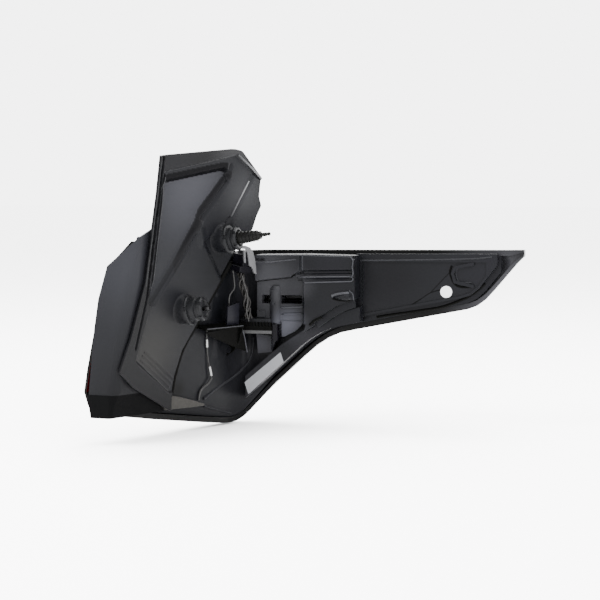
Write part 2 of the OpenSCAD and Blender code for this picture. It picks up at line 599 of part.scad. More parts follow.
// Vent membrane and blank label
module vent_membrane() datum() color([0.85, 0.86, 0.87])
    side_plate(arm_depth - 2 + fit / 10, arm_depth - 2 + 0.6) translate(vent_spot) circle(r = vent_r);
module blank_label() datum() color([0.8, 0.8, 0.8]) side_plate(flange_depth, flange_depth + label_t)
    polygon([[-109, -182], [-63, -143.5], [-59, -155.5], [-104, -196.5]]);

outer_lens();
lamp_housing();
mounting_panel();
panel_gasket();
side_cover();
inner_bezel();
rear_light_guide();
side_light_guide();
reflex_reflector();
rear_led_board();
side_led_board();
rear_leds();
side_leds();
upper_grommet();
lower_grommet();
locating_pin();
lower_stud();
wiring_connector();
connector_clip();
harness_wires();
pale_leads();
shelf_bracket();
contact_comb();
comb_strip();
tube_boss_clip();
drain_lead();
foam_seal();
vent_membrane();
blank_label();
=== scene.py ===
"""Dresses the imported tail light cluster: finishes, finer surfaces, studio light and camera.

The CAD nodes stay where they are. A node whose surface needs more than flat facets is replaced by a
piece that is made in the same place. Sizes are millimetres in a local frame, Blender's are metres.
"""

import logging
import math
from dataclasses import dataclass
from enum import Enum, IntEnum
from typing import Callable

import bmesh
import bpy
import numpy as np
from mathutils import Matrix, Vector, noise
from mathutils.bvhtree import BVHTree

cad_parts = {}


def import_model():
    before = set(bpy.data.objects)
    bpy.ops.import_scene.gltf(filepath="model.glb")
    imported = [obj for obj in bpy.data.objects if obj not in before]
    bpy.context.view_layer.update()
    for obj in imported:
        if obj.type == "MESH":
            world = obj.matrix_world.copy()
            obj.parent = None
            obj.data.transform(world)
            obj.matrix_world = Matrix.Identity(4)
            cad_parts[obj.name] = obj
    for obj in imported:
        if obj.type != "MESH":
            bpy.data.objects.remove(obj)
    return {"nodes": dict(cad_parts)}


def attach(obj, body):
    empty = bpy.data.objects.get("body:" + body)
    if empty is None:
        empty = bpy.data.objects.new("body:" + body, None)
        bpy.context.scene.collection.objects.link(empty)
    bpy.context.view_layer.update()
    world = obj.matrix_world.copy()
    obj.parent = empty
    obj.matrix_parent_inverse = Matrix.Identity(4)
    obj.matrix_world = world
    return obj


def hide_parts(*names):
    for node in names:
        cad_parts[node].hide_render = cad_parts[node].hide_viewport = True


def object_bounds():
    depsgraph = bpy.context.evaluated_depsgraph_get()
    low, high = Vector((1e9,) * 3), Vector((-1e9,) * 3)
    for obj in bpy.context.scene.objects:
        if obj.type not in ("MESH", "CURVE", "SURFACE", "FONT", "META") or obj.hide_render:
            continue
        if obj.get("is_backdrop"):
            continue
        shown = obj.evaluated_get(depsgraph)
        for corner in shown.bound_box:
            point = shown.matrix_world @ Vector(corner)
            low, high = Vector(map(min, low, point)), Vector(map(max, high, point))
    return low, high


LOG = logging.getLogger("tail_light")
MM = 0.001
CLOUD_MM = 45.0
BUMP_MM = 0.2
ROUGHNESS_SWING = 0.08
BEAD_SIDES = 8
BEAD_CUTS = 12
BEAD_CREASE = 60.0
FORM_CREASE = 35.0
FORM_SEGMENTS = 2
FORM_ANGLE = 28.0

Point = tuple[float, float]
Place = tuple[float, float, float]
Outline = tuple[Point, ...]
Route = tuple[Place, ...]
Tree = bpy.types.NodeTree
Socket = bpy.types.NodeSocket
Face = bpy.types.MeshPolygon


@dataclass(frozen=True)
class Layout:
    """Driving sizes of the part, the same as in its source, in millimetres and degrees."""

    rear_sweep: float = 20.0
    side_splay: float = 5.0
    panel_lean: float = 10.0
    stud_tilt: float = 8.0
    pin_reach: float = 51.0
    panel_seat: Place = (-31.0, 0.0, -4.3)
    side_mid: Place = (60.0, 108.0, 0.0)
    upper_spot: Point = (-28.7, -0.8)
    lower_spot: Point = (-80.0, -83.0)
    wall_back: float = 12.0
    seat_lift: float = 9.2
    skirt_top: float = -177.5


@dataclass(frozen=True)
class Axes:
    """A local frame of the part that turns local millimetres into metres in the row frame.

    Attributes:
        origin: The local origin, in millimetres in the row frame.
        turn: The rotation from local to row directions.
    """

    origin: Vector
    turn: Matrix

    def point(self, x: float, y: float, z: float) -> Vector:
        """Returns a local point in metres in the row frame."""
        return (self.origin + self.turn @ Vector((x, y, z))) * MM


class Frames:
    """The local frames that the part's source uses, all measured from the pin's shoulder."""

    def __init__(self, layout: Layout) -> None:
        """Works the frames out of the layout.

        Args:
            layout: The driving sizes of the part.
        """
        lean = Matrix.Rotation(math.radians(layout.panel_lean), 3, "Y")
        sweep = Matrix.Rotation(math.radians(-layout.rear_sweep), 3, "Z")
        splay = Matrix.Rotation(math.radians(layout.side_splay), 3, "Z")
        stud_turn = Matrix.Rotation(math.radians(90 - layout.stud_tilt), 3, "Y")
        seat = Vector(layout.panel_seat)
        panel_turn = sweep @ lean
        upper = seat + panel_turn @ Vector((0, *layout.upper_spot))
        shoulder = upper + stud_turn @ Vector((0, 0, layout.pin_reach))
        self.panel = Axes(seat - shoulder, panel_turn)
        self.side = Axes(Vector(layout.side_mid) - shoulder, splay)
        self.world = Axes(-shoulder, Matrix.Identity(3))
        self.row = Axes(Vector((0, 0, 0)), Matrix.Identity(3))


class Along(Enum):
    """The local axes along which a prism can have its thickness."""

    X = "x"
    Y = "y"


class Look(Enum):
    """The kinds of surface on the lamp."""

    MOULDED = "moulded"
    GLOSSY = "glossy"
    CLEAR = "clear"
    METAL = "metal"
    SOFT = "soft"


LOOK_SOCKETS = {
    Look.MOULDED: {},
    Look.GLOSSY: {"Coat Weight": 0.12, "Coat Roughness": 0.1},
    Look.CLEAR: {"Transmission Weight": 0.15, "IOR": 1.49, "Coat Weight": 0.04, "Coat Roughness": 0.05},
    Look.METAL: {"Metallic": 1.0},
    Look.SOFT: {"Sheen Weight": 0.04, "Sheen Roughness": 0.6},
}


def feed(tree: Tree, node: bpy.types.Node, inputs: dict[str | int, object]) -> None:
    """Gives a shader node its inputs.

    Args:
        tree: The node tree.
        node: The node.
        inputs: What each input gets, a socket that is linked to it or a value.
    """
    for name, value in inputs.items():
        if isinstance(value, Socket):
            tree.links.new(value, node.inputs[name])
        else:
            node.inputs[name].default_value = value


def add_node(tree: Tree, kind: str, output: str, inputs: dict[str | int, object], **settings: str) -> Socket:
    """Adds a shader node.

    Args:
        tree: The node tree.
        kind: Its type, without the common prefix.
        output: The output that is wanted.
        inputs: What each input gets, a socket or a value.
        settings: Settings of the node itself.

    Returns:
        The output.
    """
    node = tree.nodes.new("ShaderNode" + kind)
    for name, value in settings.items():
        setattr(node, name, value)
    feed(tree, node, inputs)
    return node.outputs[output]


@dataclass(frozen=True)
class Patch:
    """A soft-edged place where a finish takes another tone; most patches paint light or shade into the
    colour.

    Attributes:
        centre: Middle of the place in the row frame, in millimetres.
        reach: Distance at which it has faded out.
        tone: Linear colour at its middle.
    """

    centre: Place
    reach: float
    tone: Place


@dataclass(frozen=True)
class Finish:
    """One finish of the lamp and the numbers that its shader needs.

    Attributes:
        name: Plain name of the material.
        slot: The record's material slot; not used.
        tone: Linear base colour.
        roughness: Middle roughness.
        spread: Share by which the colour varies.
        grain: Strength of the surface grain.
        grain_size: Size of one grain, in millimetres.
        specular: Strength of the plain reflection.
        look: The kind of surface.
        patches: Places with another tone, most of them painted light or shade.
    """

    name: str
    slot: str
    tone: Place
    roughness: float = 0.5
    spread: float = 0.12
    grain: float = 0.15
    grain_size: float = 0.8
    specular: float = 0.05
    look: Look = Look.MOULDED
    patches: tuple[Patch, ...] = ()

    def material(self) -> bpy.types.Material:
        """Returns the material, made on first use."""
        ready = bpy.data.materials.get(self.name)
        return ready if ready else self._made()

    def _made(self) -> bpy.types.Material:
        """Builds the node tree of the material.

        Returns:
            The new material.
        """
        material = bpy.data.materials.new(self.name)
        material.use_nodes = True
        tree = material.node_tree
        place = add_node(tree, "TexCoord", "Object", {})
        spots = {"Vector": place, "Scale": 1000.0 / CLOUD_MM, "Detail": 4.0}
        cloud = add_node(tree, "TexNoise", "Fac", spots)
        spots = {"Vector": place, "Scale": 1000.0 / self.grain_size, "Detail": 2.0}
        grain = add_node(tree, "TexNoise", "Fac", spots)
        low, high = [(*[c * (1 + k * self.spread) for c in self.tone], 1.0) for k in (-1, 1)]
        tone = add_node(tree, "Mix", "Result", {"A": low, "B": high, "Factor": cloud}, data_type="RGBA")
        for patch in self.patches:
            tone = self._patched(tree, place, tone, patch)
        low = max(0.02, self.roughness - ROUGHNESS_SWING)
        high = min(1.0, self.roughness + ROUGHNESS_SWING)
        bumps = {"Strength": self.grain, "Distance": BUMP_MM * MM, "Height": grain}
        span = {"Value": cloud, "To Min": low, "To Max": high}
        feed(tree, tree.nodes["Principled BSDF"], {
            "Base Color": tone,
            "Roughness": add_node(tree, "MapRange", "Result", span),
            "Normal": add_node(tree, "Bump", "Normal", bumps),
            "Specular IOR Level": self.specular,
            **LOOK_SOCKETS[self.look],
        })
        return material

    @staticmethod
    def _patched(tree: Tree, place: Socket, tone: Socket, patch: Patch) -> Socket:
        """Mixes one patch into a tone.

        Args:
            tree: The node tree.
            place: The object coordinates.
            tone: The tone so far.
            patch: The patch.

        Returns:
            The new tone.
        """
        centre = [c * MM for c in patch.centre]
        gap = add_node(tree, "VectorMath", "Value", {0: place, 1: centre}, operation="DISTANCE")
        fade = {"Value": gap, "From Max": patch.reach * MM, "To Min": 1.0, "To Max": 0.0}
        share = add_node(tree, "MapRange", "Result", fade, interpolation_type="SMOOTHSTEP")
        tones = {"Factor": share, "A": tone, "B": (*patch.tone, 1.0)}
        return add_node(tree, "Mix", "Result", tones, data_type="RGBA")


class Finishes:
    """All finishes of the lamp by name."""

    lens = Finish("smoked_lens", "lens", (0.017, 0.0003, 0.0005), 0.12, 0.1, 0.02, specular=0.02,
                  look=Look.CLEAR)
    # Black painted rim; its patch at the arm's tip is a lighter grey, painted light on the rim.
    rim = Finish("black_rim_and_painted_light", "lens", (0.0006, 0.0006, 0.0006), 0.3, 0.1, 0.02, specular=0.04, patches=(
        Patch((245, 125, -60), 85, (0.02, 0.02, 0.0225)),
    ))
    # Black housing; its patches paint light and shade: lighter places where light falls on the block and the
    # wall, darker ones on the arm, and a near-black one at (-101, -13, -183) that paints the shadow in an
    # opening.
    housing = Finish("black_housing_and_painted_light", "housing", (0.0019, 0.002, 0.0026), 0.4, 0.12, 0.2, patches=(
        Patch((-22, 76, -56), 58, (0.0145, 0.0146, 0.0164)),
        Patch((57, 79, -34), 30, (0.0022, 0.0022, 0.003)),
        Patch((22, 77, -62), 26, (0.0085, 0.0086, 0.0098)),
        Patch((6, 74, -111), 30, (0.028, 0.0286, 0.035)),
        Patch((25, 89, -124), 40, (0.006, 0.006, 0.0072)),
        Patch((-35, 77, -138), 26, (0.014, 0.014, 0.0168)),
        Patch((-41, 82, -174), 60, (0.004, 0.004, 0.0048)),
        Patch((-120, 60, -150), 60, (0.0042, 0.0043, 0.0054)),
        Patch((-101, -13, -183), 18, (0.0002, 0.0002, 0.0002)),
        Patch((123, 111, -53), 70, (0.0009, 0.0009, 0.0013)),
        Patch((235, 121, -40), 60, (0.0023, 0.0023, 0.0031)),
    ))
    # Grey panel; its patch at (-29, 23, 47) by the right field is lighter as painted light and the one at
    # (-57, -2, -39) darker as painted shade; the patch low on the left at (-104, -82, -132) is a warmer,
    # lighter tone.
    panel = Finish("grey_panel_and_painted_light", "panel", (0.0026, 0.0027, 0.0034), 0.45, 0.22, 0.25, patches=(
        Patch((-104, -82, -132), 75, (0.006875, 0.00671, 0.00649)),
        Patch((-29, 23, 47), 46, (0.0102, 0.0104, 0.0114)),
        Patch((-57, -2, -39), 46, (0.00154, 0.00165, 0.00209)),
    ))
    # The panel's margin, darker as painted shade; its patch at (-42, 2, 92) is lighter as painted light and
    # the one at (-78, -85, 84) darker as painted shade.
    margin = Finish("panel_margin_painted_shade", "panel", (0.0018, 0.0018, 0.0021), 0.45, 0.15, 0.25, patches=(
        Patch((-42, 2, 92), 55, (0.011, 0.011, 0.0118)),
        Patch((-78, -85, 84), 45, (0.0028, 0.0028, 0.0034)),
    ))
    # Painted shadow: near-black on the wall above the recess and on the inboard flanks.
    groove = Finish("panel_painted_shadow", "panel", (0.0011, 0.0011, 0.0014), 0.5, 0.1, 0.2, specular=0.02)
    # Painted shade in the channel below the recess.
    channel = Finish("panel_channel_painted_shade", "panel", (0.0015, 0.0015, 0.002), 0.45, 0.15, 0.2)
    block = Finish("shelf_block", "housing", (0.0028, 0.0028, 0.0042), 0.4, 0.12, 0.2)
    # Lighter tone of the painted highlight lines on the housing's wall and arm.
    rib = Finish("wall_painted_highlight", "housing", (0.0062, 0.0063, 0.0073), 0.4, 0.15, 0.1)
    # Near-black: the own colour of the comb and the shelf bracket, and painted shadow on the shadow lines
    # and the gap tube.
    shade = Finish("black_and_painted_shadow", "housing", (0.0007, 0.0007, 0.0006), 0.6, 0.1, 0.1, specular=0.02)
    # Light tone of the painted highlight tubes along the block's and the shelf's edges.
    lit = Finish("painted_highlight_edge", "housing", (0.0165, 0.0167, 0.019), 0.35, 0.1, 0.1)
    strip = Finish("pale_strip", "clip", (0.026, 0.026, 0.0265), 0.4, 0.15, 0.1)
    # Light tone of the panel's painted highlights; its patch at (-25, 28, 58) paints a brighter highlight by
    # the top right.
    edge = Finish("panel_edge", "panel", (0.016, 0.0162, 0.0172), 0.4, 0.1, 0.1, patches=(
        Patch((-25, 28, 58), 52, (0.08, 0.0805, 0.083)),
    ))
    # The recess, lighter as painted light from above, and lighter still at its patch at (-58, -56, 58).
    recess = Finish("panel_recess_painted_light", "panel", (0.0052, 0.0054, 0.0064), 0.45, 0.16, 0.25, patches=(
        Patch((-58, -56, 58), 95, (0.0144, 0.01458, 0.0174)),
    ))
    # Grey cover; its top patch is lighter as painted light from above and its low patch darker as painted
    # shade.
    cover = Finish("grey_cover_and_painted_light", "cover", (0.0031, 0.0032, 0.0039), 0.45, 0.08, 0.3, patches=(
        Patch((-113, -138, -27), 95, (0.0076, 0.0078, 0.0094)),
        Patch((-120, -118, -190), 85, (0.0013, 0.0013, 0.0017)),
    ))
    skirt = Finish("dark_skirt", "cover", (0.0004, 0.00042, 0.0005), 0.6, 0.1, 0.2, specular=0.02)
    bezel = Finish("gloss_bezel", "bezel", (0.0024, 0.0024, 0.0027), 0.12, 0.1, 0.02, look=Look.GLOSSY)
    guide = Finish("red_guide", "light_guide", (0.3, 0.012, 0.012), 0.08, 0.1, 0.05, look=Look.CLEAR)
    reflex = Finish("red_reflex", "reflex", (0.25, 0.006, 0.006), 0.15, 0.1, 0.6, 2.4, look=Look.GLOSSY)
    board = Finish("green_board", "board", (0.004, 0.04, 0.018), 0.35, 0.2, 0.2, look=Look.GLOSSY)
    led = Finish("yellow_led", "led", (0.4, 0.3, 0.08), 0.4, 0.1, 0.1, look=Look.GLOSSY)
    rubber = Finish("black_rubber", "grommet", (0.0042, 0.0043, 0.0048), 0.42, 0.15, 0.25, specular=0.06)
    nylon = Finish("black_nylon", "pin", (0.00168, 0.00168, 0.00156), 0.4, 0.15, 0.15)
    steel = Finish("zinc_steel", "stud", (0.02, 0.02, 0.021), 0.35, 0.1, 0.2, 0.5, look=Look.METAL)
    connector = Finish("connector_black", "connector", (0.0013, 0.0012, 0.0019), 0.4, 0.15, 0.15)
    clip = Finish("pale_clip", "clip", (0.048, 0.048, 0.05), 0.4, 0.1, 0.1)
    wire = Finish("dark_wire", "wire_dark", (0.006, 0.0056, 0.0054), 0.3, 0.6, 0.1, look=Look.GLOSSY)
    pale_wire = Finish("pale_wire", "wire_pale", (0.014, 0.0138, 0.0136), 0.4, 0.5, 0.1, look=Look.GLOSSY)
    # White sleeves on the drain lead, drawn where the lead shows two bright glints: partly real sleeves,
    # partly painted highlight.
    sleeve = Finish("white_sleeve_and_glint", "wire_pale", (0.2, 0.2, 0.2), 0.3, 0.1, 0.1, look=Look.GLOSSY)
    foam = Finish("beige_foam", "foam", (0.0158, 0.015, 0.0135), 0.9, 0.3, 0.9, 1.6, look=Look.SOFT)
    vent = Finish("white_vent", "vent", (0.4, 0.405, 0.41), 0.7, 0.05, 0.4, 0.6, look=Look.SOFT)
    paper = Finish("white_label", "label", (0.105, 0.107, 0.113), 0.45, 0.06, 0.1)


def add_object(name: str, data: bpy.types.ID) -> bpy.types.Object:
    """Makes an object and links it to the scene.

    Args:
        name: Its name.
        data: Its mesh, camera or light.

    Returns:
        The object.
    """
    made = bpy.data.objects.new(name, data)
    bpy.context.scene.collection.objects.link(made)
    return made


def join_mesh(whole: bmesh.types.BMesh, part: bmesh.types.BMesh) -> None:
    """Moves one mesh into another and frees it.

    Args:
        whole: The mesh that takes the other.
        part: The mesh that is moved and freed.
    """
    kept = bpy.data.meshes.new("form")
    part.to_mesh(kept)
    part.free()
    whole.from_mesh(kept)
    bpy.data.meshes.remove(kept)


def round_edges(bm: bmesh.types.BMesh, width: float, segments: int, angle: float) -> None:
    """Rounds the sharp edges of a mesh.

    Args:
        bm: The mesh.
        width: Width of the rounding, in the unit of the mesh.
        segments: Steps of the rounding.
        angle: Smallest angle in degrees of an edge that is rounded.
    """
    sharp = [e for e in bm.edges if len(e.link_faces) == 2 and e.calc_face_angle() > math.radians(angle)]
    bmesh.ops.bevel(bm, geom=sharp, offset=width, offset_type="OFFSET", segments=segments,
                    affect="EDGES", profile=0.5, material=-1, clamp_overlap=True)


def make_piece(name: str, bm: bmesh.types.BMesh, finish: Finish, stands_for: tuple[str, ...] = (),
               crease: float = FORM_CREASE) -> bpy.types.Object:
    """Turns a mesh into a finished piece that rides on the lamp.

    Args:
        name: Name of the piece.
        bm: Its mesh in metres, freed here.
        finish: Its finish.
        stands_for: CAD nodes that it replaces.
        crease: Angle in degrees above which an edge stays sharp.

    Returns:
        The new object.
    """
    mesh = bpy.data.meshes.new(name)
    bm.normal_update()
    bm.to_mesh(mesh)
    bm.free()
    mesh.polygons.foreach_set("use_smooth", [True] * len(mesh.polygons))
    mesh.set_sharp_from_angle(angle=math.radians(crease))
    mesh.materials.append(finish.material())
    piece = add_object(name, mesh)
    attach(piece, "root")
    if stands_for:
        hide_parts(*stands_for)
    LOG.info("%s: %d faces", name, len(mesh.polygons))
    return piece


def smooth_line(points: list[Vector], steps: int) -> list[Vector]:
    """Draws a smooth line that passes through points.

    Args:
        points: The points.
        steps: Steps between two points.

    Returns:
        The points of the smooth line.
    """
    line = []
    last = len(points) - 1
    for i in range(last):
        before = points[max(i - 1, 0)]
        after = points[min(i + 2, last)]
        for k in range(steps):
            t = k / steps
            a = points[i] * 2
            b = (points[i + 1] - before) * t
            c = (before * 2 - points[i] * 5 + points[i + 1] * 4 - after) * t * t
            d = (points[i] * 3 - before - points[i + 1] * 3 + after) * t * t * t
            line.append((a + b + c + d) / 2)
    line.append(points[last])
    return line


class Shape:
    """Collects closed forms in one local frame and turns them into one mesh."""

    def __init__(self, axes: Axes) -> None:
        """Starts an empty shape in a local frame."""
        self.axes = axes
        self.bm = bmesh.new()

    def _take(self, part: bmesh.types.BMesh, round_mm: float) -> None:
        """Rounds the sharp edges of one form and adds it.

        Args:
            part: The form in local millimetres, freed here.
            round_mm: Width of the rounding, or 0 for none.
        """
        bmesh.ops.recalc_face_normals(part, faces=part.faces)
        if round_mm > 0:
            round_edges(part, round_mm, FORM_SEGMENTS, FORM_ANGLE)
        for vert in part.verts:
            vert.co = self.axes.point(*vert.co)
        join_mesh(self.bm, part)

    def prism(self, outline: Outline, span: Point, round_mm: float, along: Along = Along.X) -> "Shape":
        """Adds an outline with a thickness.

        Args:
            outline: Corners in the plane across the thickness.
            span: Where the thickness starts and ends, in millimetres.
            round_mm: Width of the edge rounding.
            along: The local axis of the thickness.

        Returns:
            The shape itself.
        """
        part = bmesh.new()
        place = (lambda d, p: (d, p[0], p[1])) if along is Along.X else (lambda d, p: (p[0], d, p[1]))
        rings = [[part.verts.new(place(d, p)) for p in outline] for d in span]
        part.faces.new(rings[0])
        part.faces.new(rings[1])
        count = len(outline)
        for i in range(count):
            j = (i + 1) % count
            part.faces.new((rings[0][i], rings[0][j], rings[1][j], rings[1][i]))
        self._take(part, round_mm)
        return self

    def tube(self, points: Route | list[Place], radius: float, sides: int = 14, steps: int = 8) -> "Shape":
        """Adds a round wire along a smooth line through points.

        Args:
            points: The points of the line, in local millimetres.
            radius: Radius of the wire.
            sides: Corners of its section.
            steps: Steps between two points.

        Returns:
            The shape itself.
        """
        path = smooth_line([Vector(p) for p in points], steps)
        part = bmesh.new()
        side = (path[1] - path[0]).orthogonal().normalized()
        angles = [math.tau * k / sides for k in range(sides)]
        rings = []
        for i, centre in enumerate(path):
            ahead = path[min(i + 1, len(path) - 1)] - path[max(i - 1, 0)]
            side = (side - ahead * side.dot(ahead) / ahead.length_squared).normalized()
            up = ahead.normalized().cross(side)
            ring = [centre + radius * (math.cos(a) * side + math.sin(a) * up) for a in angles]
            rings.append([part.verts.new(point) for point in ring])
        for a, b in zip(rings, rings[1:]):
            for k in range(sides):
                m = (k + 1) % sides
                part.faces.new((a[k], a[m], b[m], b[k]))
        part.faces.new(rings[0])
        part.faces.new(rings[-1])
        self._take(part, 0.0)
        return self

    def done(self, name: str, finish: Finish, stands_for: tuple[str, ...] = (),
             crease: float = BEAD_CREASE) -> bpy.types.Object:
        """Returns the shape as a finished piece."""
        return make_piece(name, self.bm, finish, stands_for, crease)


@dataclass
class NodeCopies:
    """Makes finer copies of CAD nodes, with rounded edges, in the same place.

    Attributes:
        nodes: The CAD nodes by name.
        weld: Distance in millimetres below which two corners become one.
        flat_angle: Angle in degrees below which two faces become one.
    """

    nodes: dict[str, bpy.types.Object]
    weld: float = 0.002
    flat_angle: float = 0.7

    def rounded(self, node: str, finish: Finish, width: float, segments: int = 2, angle: float = 30.0,
                extra: Shape | None = None, crease: float = 32.0) -> bpy.types.Object:
        """Replaces a node by a copy whose sharp edges are rounded.

        Args:
            node: The CAD node.
            finish: The finish of the copy.
            width: Width of the rounding in millimetres.
            segments: Steps of the rounding.
            angle: Smallest angle in degrees of an edge that is rounded.
            extra: Detail that is added to the copy.
            crease: Angle in degrees above which an edge stays sharp.

        Returns:
            The new object.
        """
        bm = bmesh.new()
        bm.from_mesh(self.nodes[node].data)
        bmesh.ops.remove_doubles(bm, verts=bm.verts, dist=self.weld * MM)
        flat = math.radians(self.flat_angle)
        bmesh.ops.dissolve_limit(bm, angle_limit=flat, verts=bm.verts, edges=bm.edges)
        round_edges(bm, width * MM, segments, angle)
        if extra:
            join_mesh(bm, extra.bm)
        piece = make_piece(node + "_finished", bm, finish, (node,), crease)
        even = piece.modifiers.new("even_normals", "WEIGHTED_NORMAL")
        even.keep_sharp = True
        return piece

    def kept(self, node: str, finish: Finish) -> None:
        """Gives a CAD node that stays its finish.

        Args:
            node: The CAD node.
            finish: Its finish.
        """
        mesh = self.nodes[node].data
        mesh.materials.clear()
        mesh.materials.append(finish.material())
        LOG.info("%s kept with %s", node, finish.name)


def soft_step(share: np.ndarray) -> np.ndarray:
    """Returns a soft step from 0 to 1."""
    held = np.clip(share, 0, 1)
    return held * held * (3 - 2 * held)


class HeightField:
    """Heights over a grid of local places, raised and lowered by soft-edged features."""

    def __init__(self, w: np.ndarray, v: np.ndarray) -> None:
        """Starts flat.

        Args:
            w: Places across, in millimetres.
            v: Places up.
        """
        self.w = w
        self.v = v
        self.h = np.zeros_like(w)

    def distance(self, p: Point, q: Point) -> np.ndarray:
        """Measures how far each place is from a straight line.

        Args:
            p: One end of the line.
            q: The other end.

        Returns:
            The distances.
        """
        dw, dv = q[0] - p[0], q[1] - p[1]
        t = ((self.w - p[0]) * dw + (self.v - p[1]) * dv) / (dw * dw + dv * dv)
        t = np.clip(t, 0, 1)
        return np.hypot(self.w - p[0] - t * dw, self.v - p[1] - t * dv)

    def inside(self, outline: Outline) -> np.ndarray:
        """Measures how far each place is inside an outline.

        Args:
            outline: Corners of the outline.

        Returns:
            The distances, below 0 outside it.
        """
        gap = np.full_like(self.w, 1e9)
        within = np.zeros(self.w.shape, bool)
        for p, q in zip(outline, outline[1:] + outline[:1]):
            gap = np.minimum(gap, self.distance(p, q))
            crosses = (p[1] > self.v) != (q[1] > self.v)
            span = q[1] - p[1] if abs(q[1] - p[1]) > 1e-9 else 1e-9
            reach = p[0] + (self.v - p[1]) * (q[0] - p[0]) / span
            within ^= crosses & (self.w < reach)
        return np.where(within, gap, -gap)

    def add(self, features: "tuple[Level | Ridge, ...]") -> None:
        """Adds features in their order."""
        for feature in features:
            self.h += feature.heights(self)


@dataclass(frozen=True)
class Level:
    """A raised part of a height field, or a sunk one if its rise is below 0.

    Attributes:
        outline: Its corners.
        before: How far outside the outline its slope starts, in millimetres.
        rise: Its height.
        run: Width of its slope.
    """

    outline: Outline
    before: float
    rise: float
    run: float

    def heights(self, field: HeightField) -> np.ndarray:
        """Returns what it adds at each place of a field."""
        return self.rise * soft_step((field.inside(self.outline) + self.before) / self.run)


@dataclass(frozen=True)
class Ridge:
    """A rounded ridge of a height field, or a groove if its rise is below 0.

    Attributes:
        start: One end of its line.
        end: The other end.
        rise: Its height in millimetres.
        half: Half its width.
    """

    start: Point
    end: Point
    rise: float
    half: float

    def heights(self, field: HeightField) -> np.ndarray:
        """Returns what it adds at each place of a field."""
        return self.rise * soft_step(1 - field.distance(self.start, self.end) / self.half)


Features = tuple[Level | Ridge, ...]
Beads = tuple[tuple[Outline | Route, float], ...]


def ridges_along(line: Outline, rise: float, half: float) -> Features:
    """Returns a ridge along each run of a line."""
    return tuple(Ridge(p, q, rise, half) for p, q in zip(line, line[1:]))


def fine_line(corners: Outline) -> tuple[np.ndarray, np.ndarray]:
    """Cuts each run of a line of corners into even steps.

    Args:
        corners: The corners.

    Returns:
        The places across and up.
    """
    shares = [k / BEAD_CUTS for k in range(BEAD_CUTS)]
    steps = [((1 - k) * p[0] + k * q[0], (1 - k) * p[1] + k * q[1])
             for p, q in zip(corners, corners[1:]) for k in shares] + [corners[-1]]
    across, up = np.array(steps).T
    return across, up


def outline_span(outline: Outline, level: float) -> Point:
    """Finds the left and right end of an outline at a height.

    Args:
        outline: Corners of the outline.
        level: The height.

    Returns:
        The two ends.
    """
    cuts = []
    for p, q in zip(outline, outline[1:] + outline[:1]):
        if (p[1] - level) * (q[1] - level) < 0:
            cuts.append(p[0] + (level - p[1]) * (q[0] - p[0]) / (q[1] - p[1]))
    return min(cuts), max(cuts)


def outline_grid(outline: Outline, rows: int, columns: int) -> tuple[np.ndarray, np.ndarray]:
    """Fills an outline with a grid that stays just clear of its highest and lowest corner.

    Args:
        outline: Corners of the outline.
        rows: Number of levels.
        columns: Number of places on a level.

    Returns:
        The places across and up, with a row for each level.
    """
    clear = 0.4
    low = min(p[1] for p in outline) + clear
    top = max(p[1] for p in outline) - clear
    levels = np.linspace(low, top, rows)
    shares = np.linspace(0, 1, columns)
    spans = [outline_span(outline, v) for v in levels]
    across = np.array([a + (b - a) * shares for a, b in spans])
    return across, np.repeat(levels[:, None], columns, axis=1)


def closed_sheet(bm: bmesh.types.BMesh, front: list[list[Vector]], back: list[list[Vector]]) -> None:
    """Adds a sheet with a front, a back and a rim.

    Args:
        bm: The mesh that it is added to.
        front: Rows of front points.
        back: Rows of back points.
    """
    sheets = [[[bm.verts.new(point) for point in row] for row in side] for side in (front, back)]
    rows, columns = len(front), len(front[0])
    for sheet in sheets:
        for j in range(rows - 1):
            for i in range(columns - 1):
                bm.faces.new((sheet[j][i], sheet[j][i + 1], sheet[j + 1][i + 1], sheet[j + 1][i]))
    rim = [(j, 0) for j in range(rows)] + [(rows - 1, i) for i in range(1, columns)]
    rim += [(j, columns - 1) for j in range(rows - 2, -1, -1)] + [(0, i) for i in range(columns - 2, 0, -1)]
    for (j, i), (n, m) in zip(rim, rim[1:] + rim[:1]):
        bm.faces.new((sheets[0][j][i], sheets[0][n][m], sheets[1][n][m], sheets[1][j][i]))
    bmesh.ops.recalc_face_normals(bm, faces=bm.faces)


class Zone(IntEnum):
    """The zones of the panel's front, in the order of its material slots; the recess is painted lighter as
    light, the margin, groove and channel darker as painted shade.
    """

    FIELD = 0
    RECESS = 1
    MARGIN = 2
    GROOVE = 3
    CHANNEL = 4


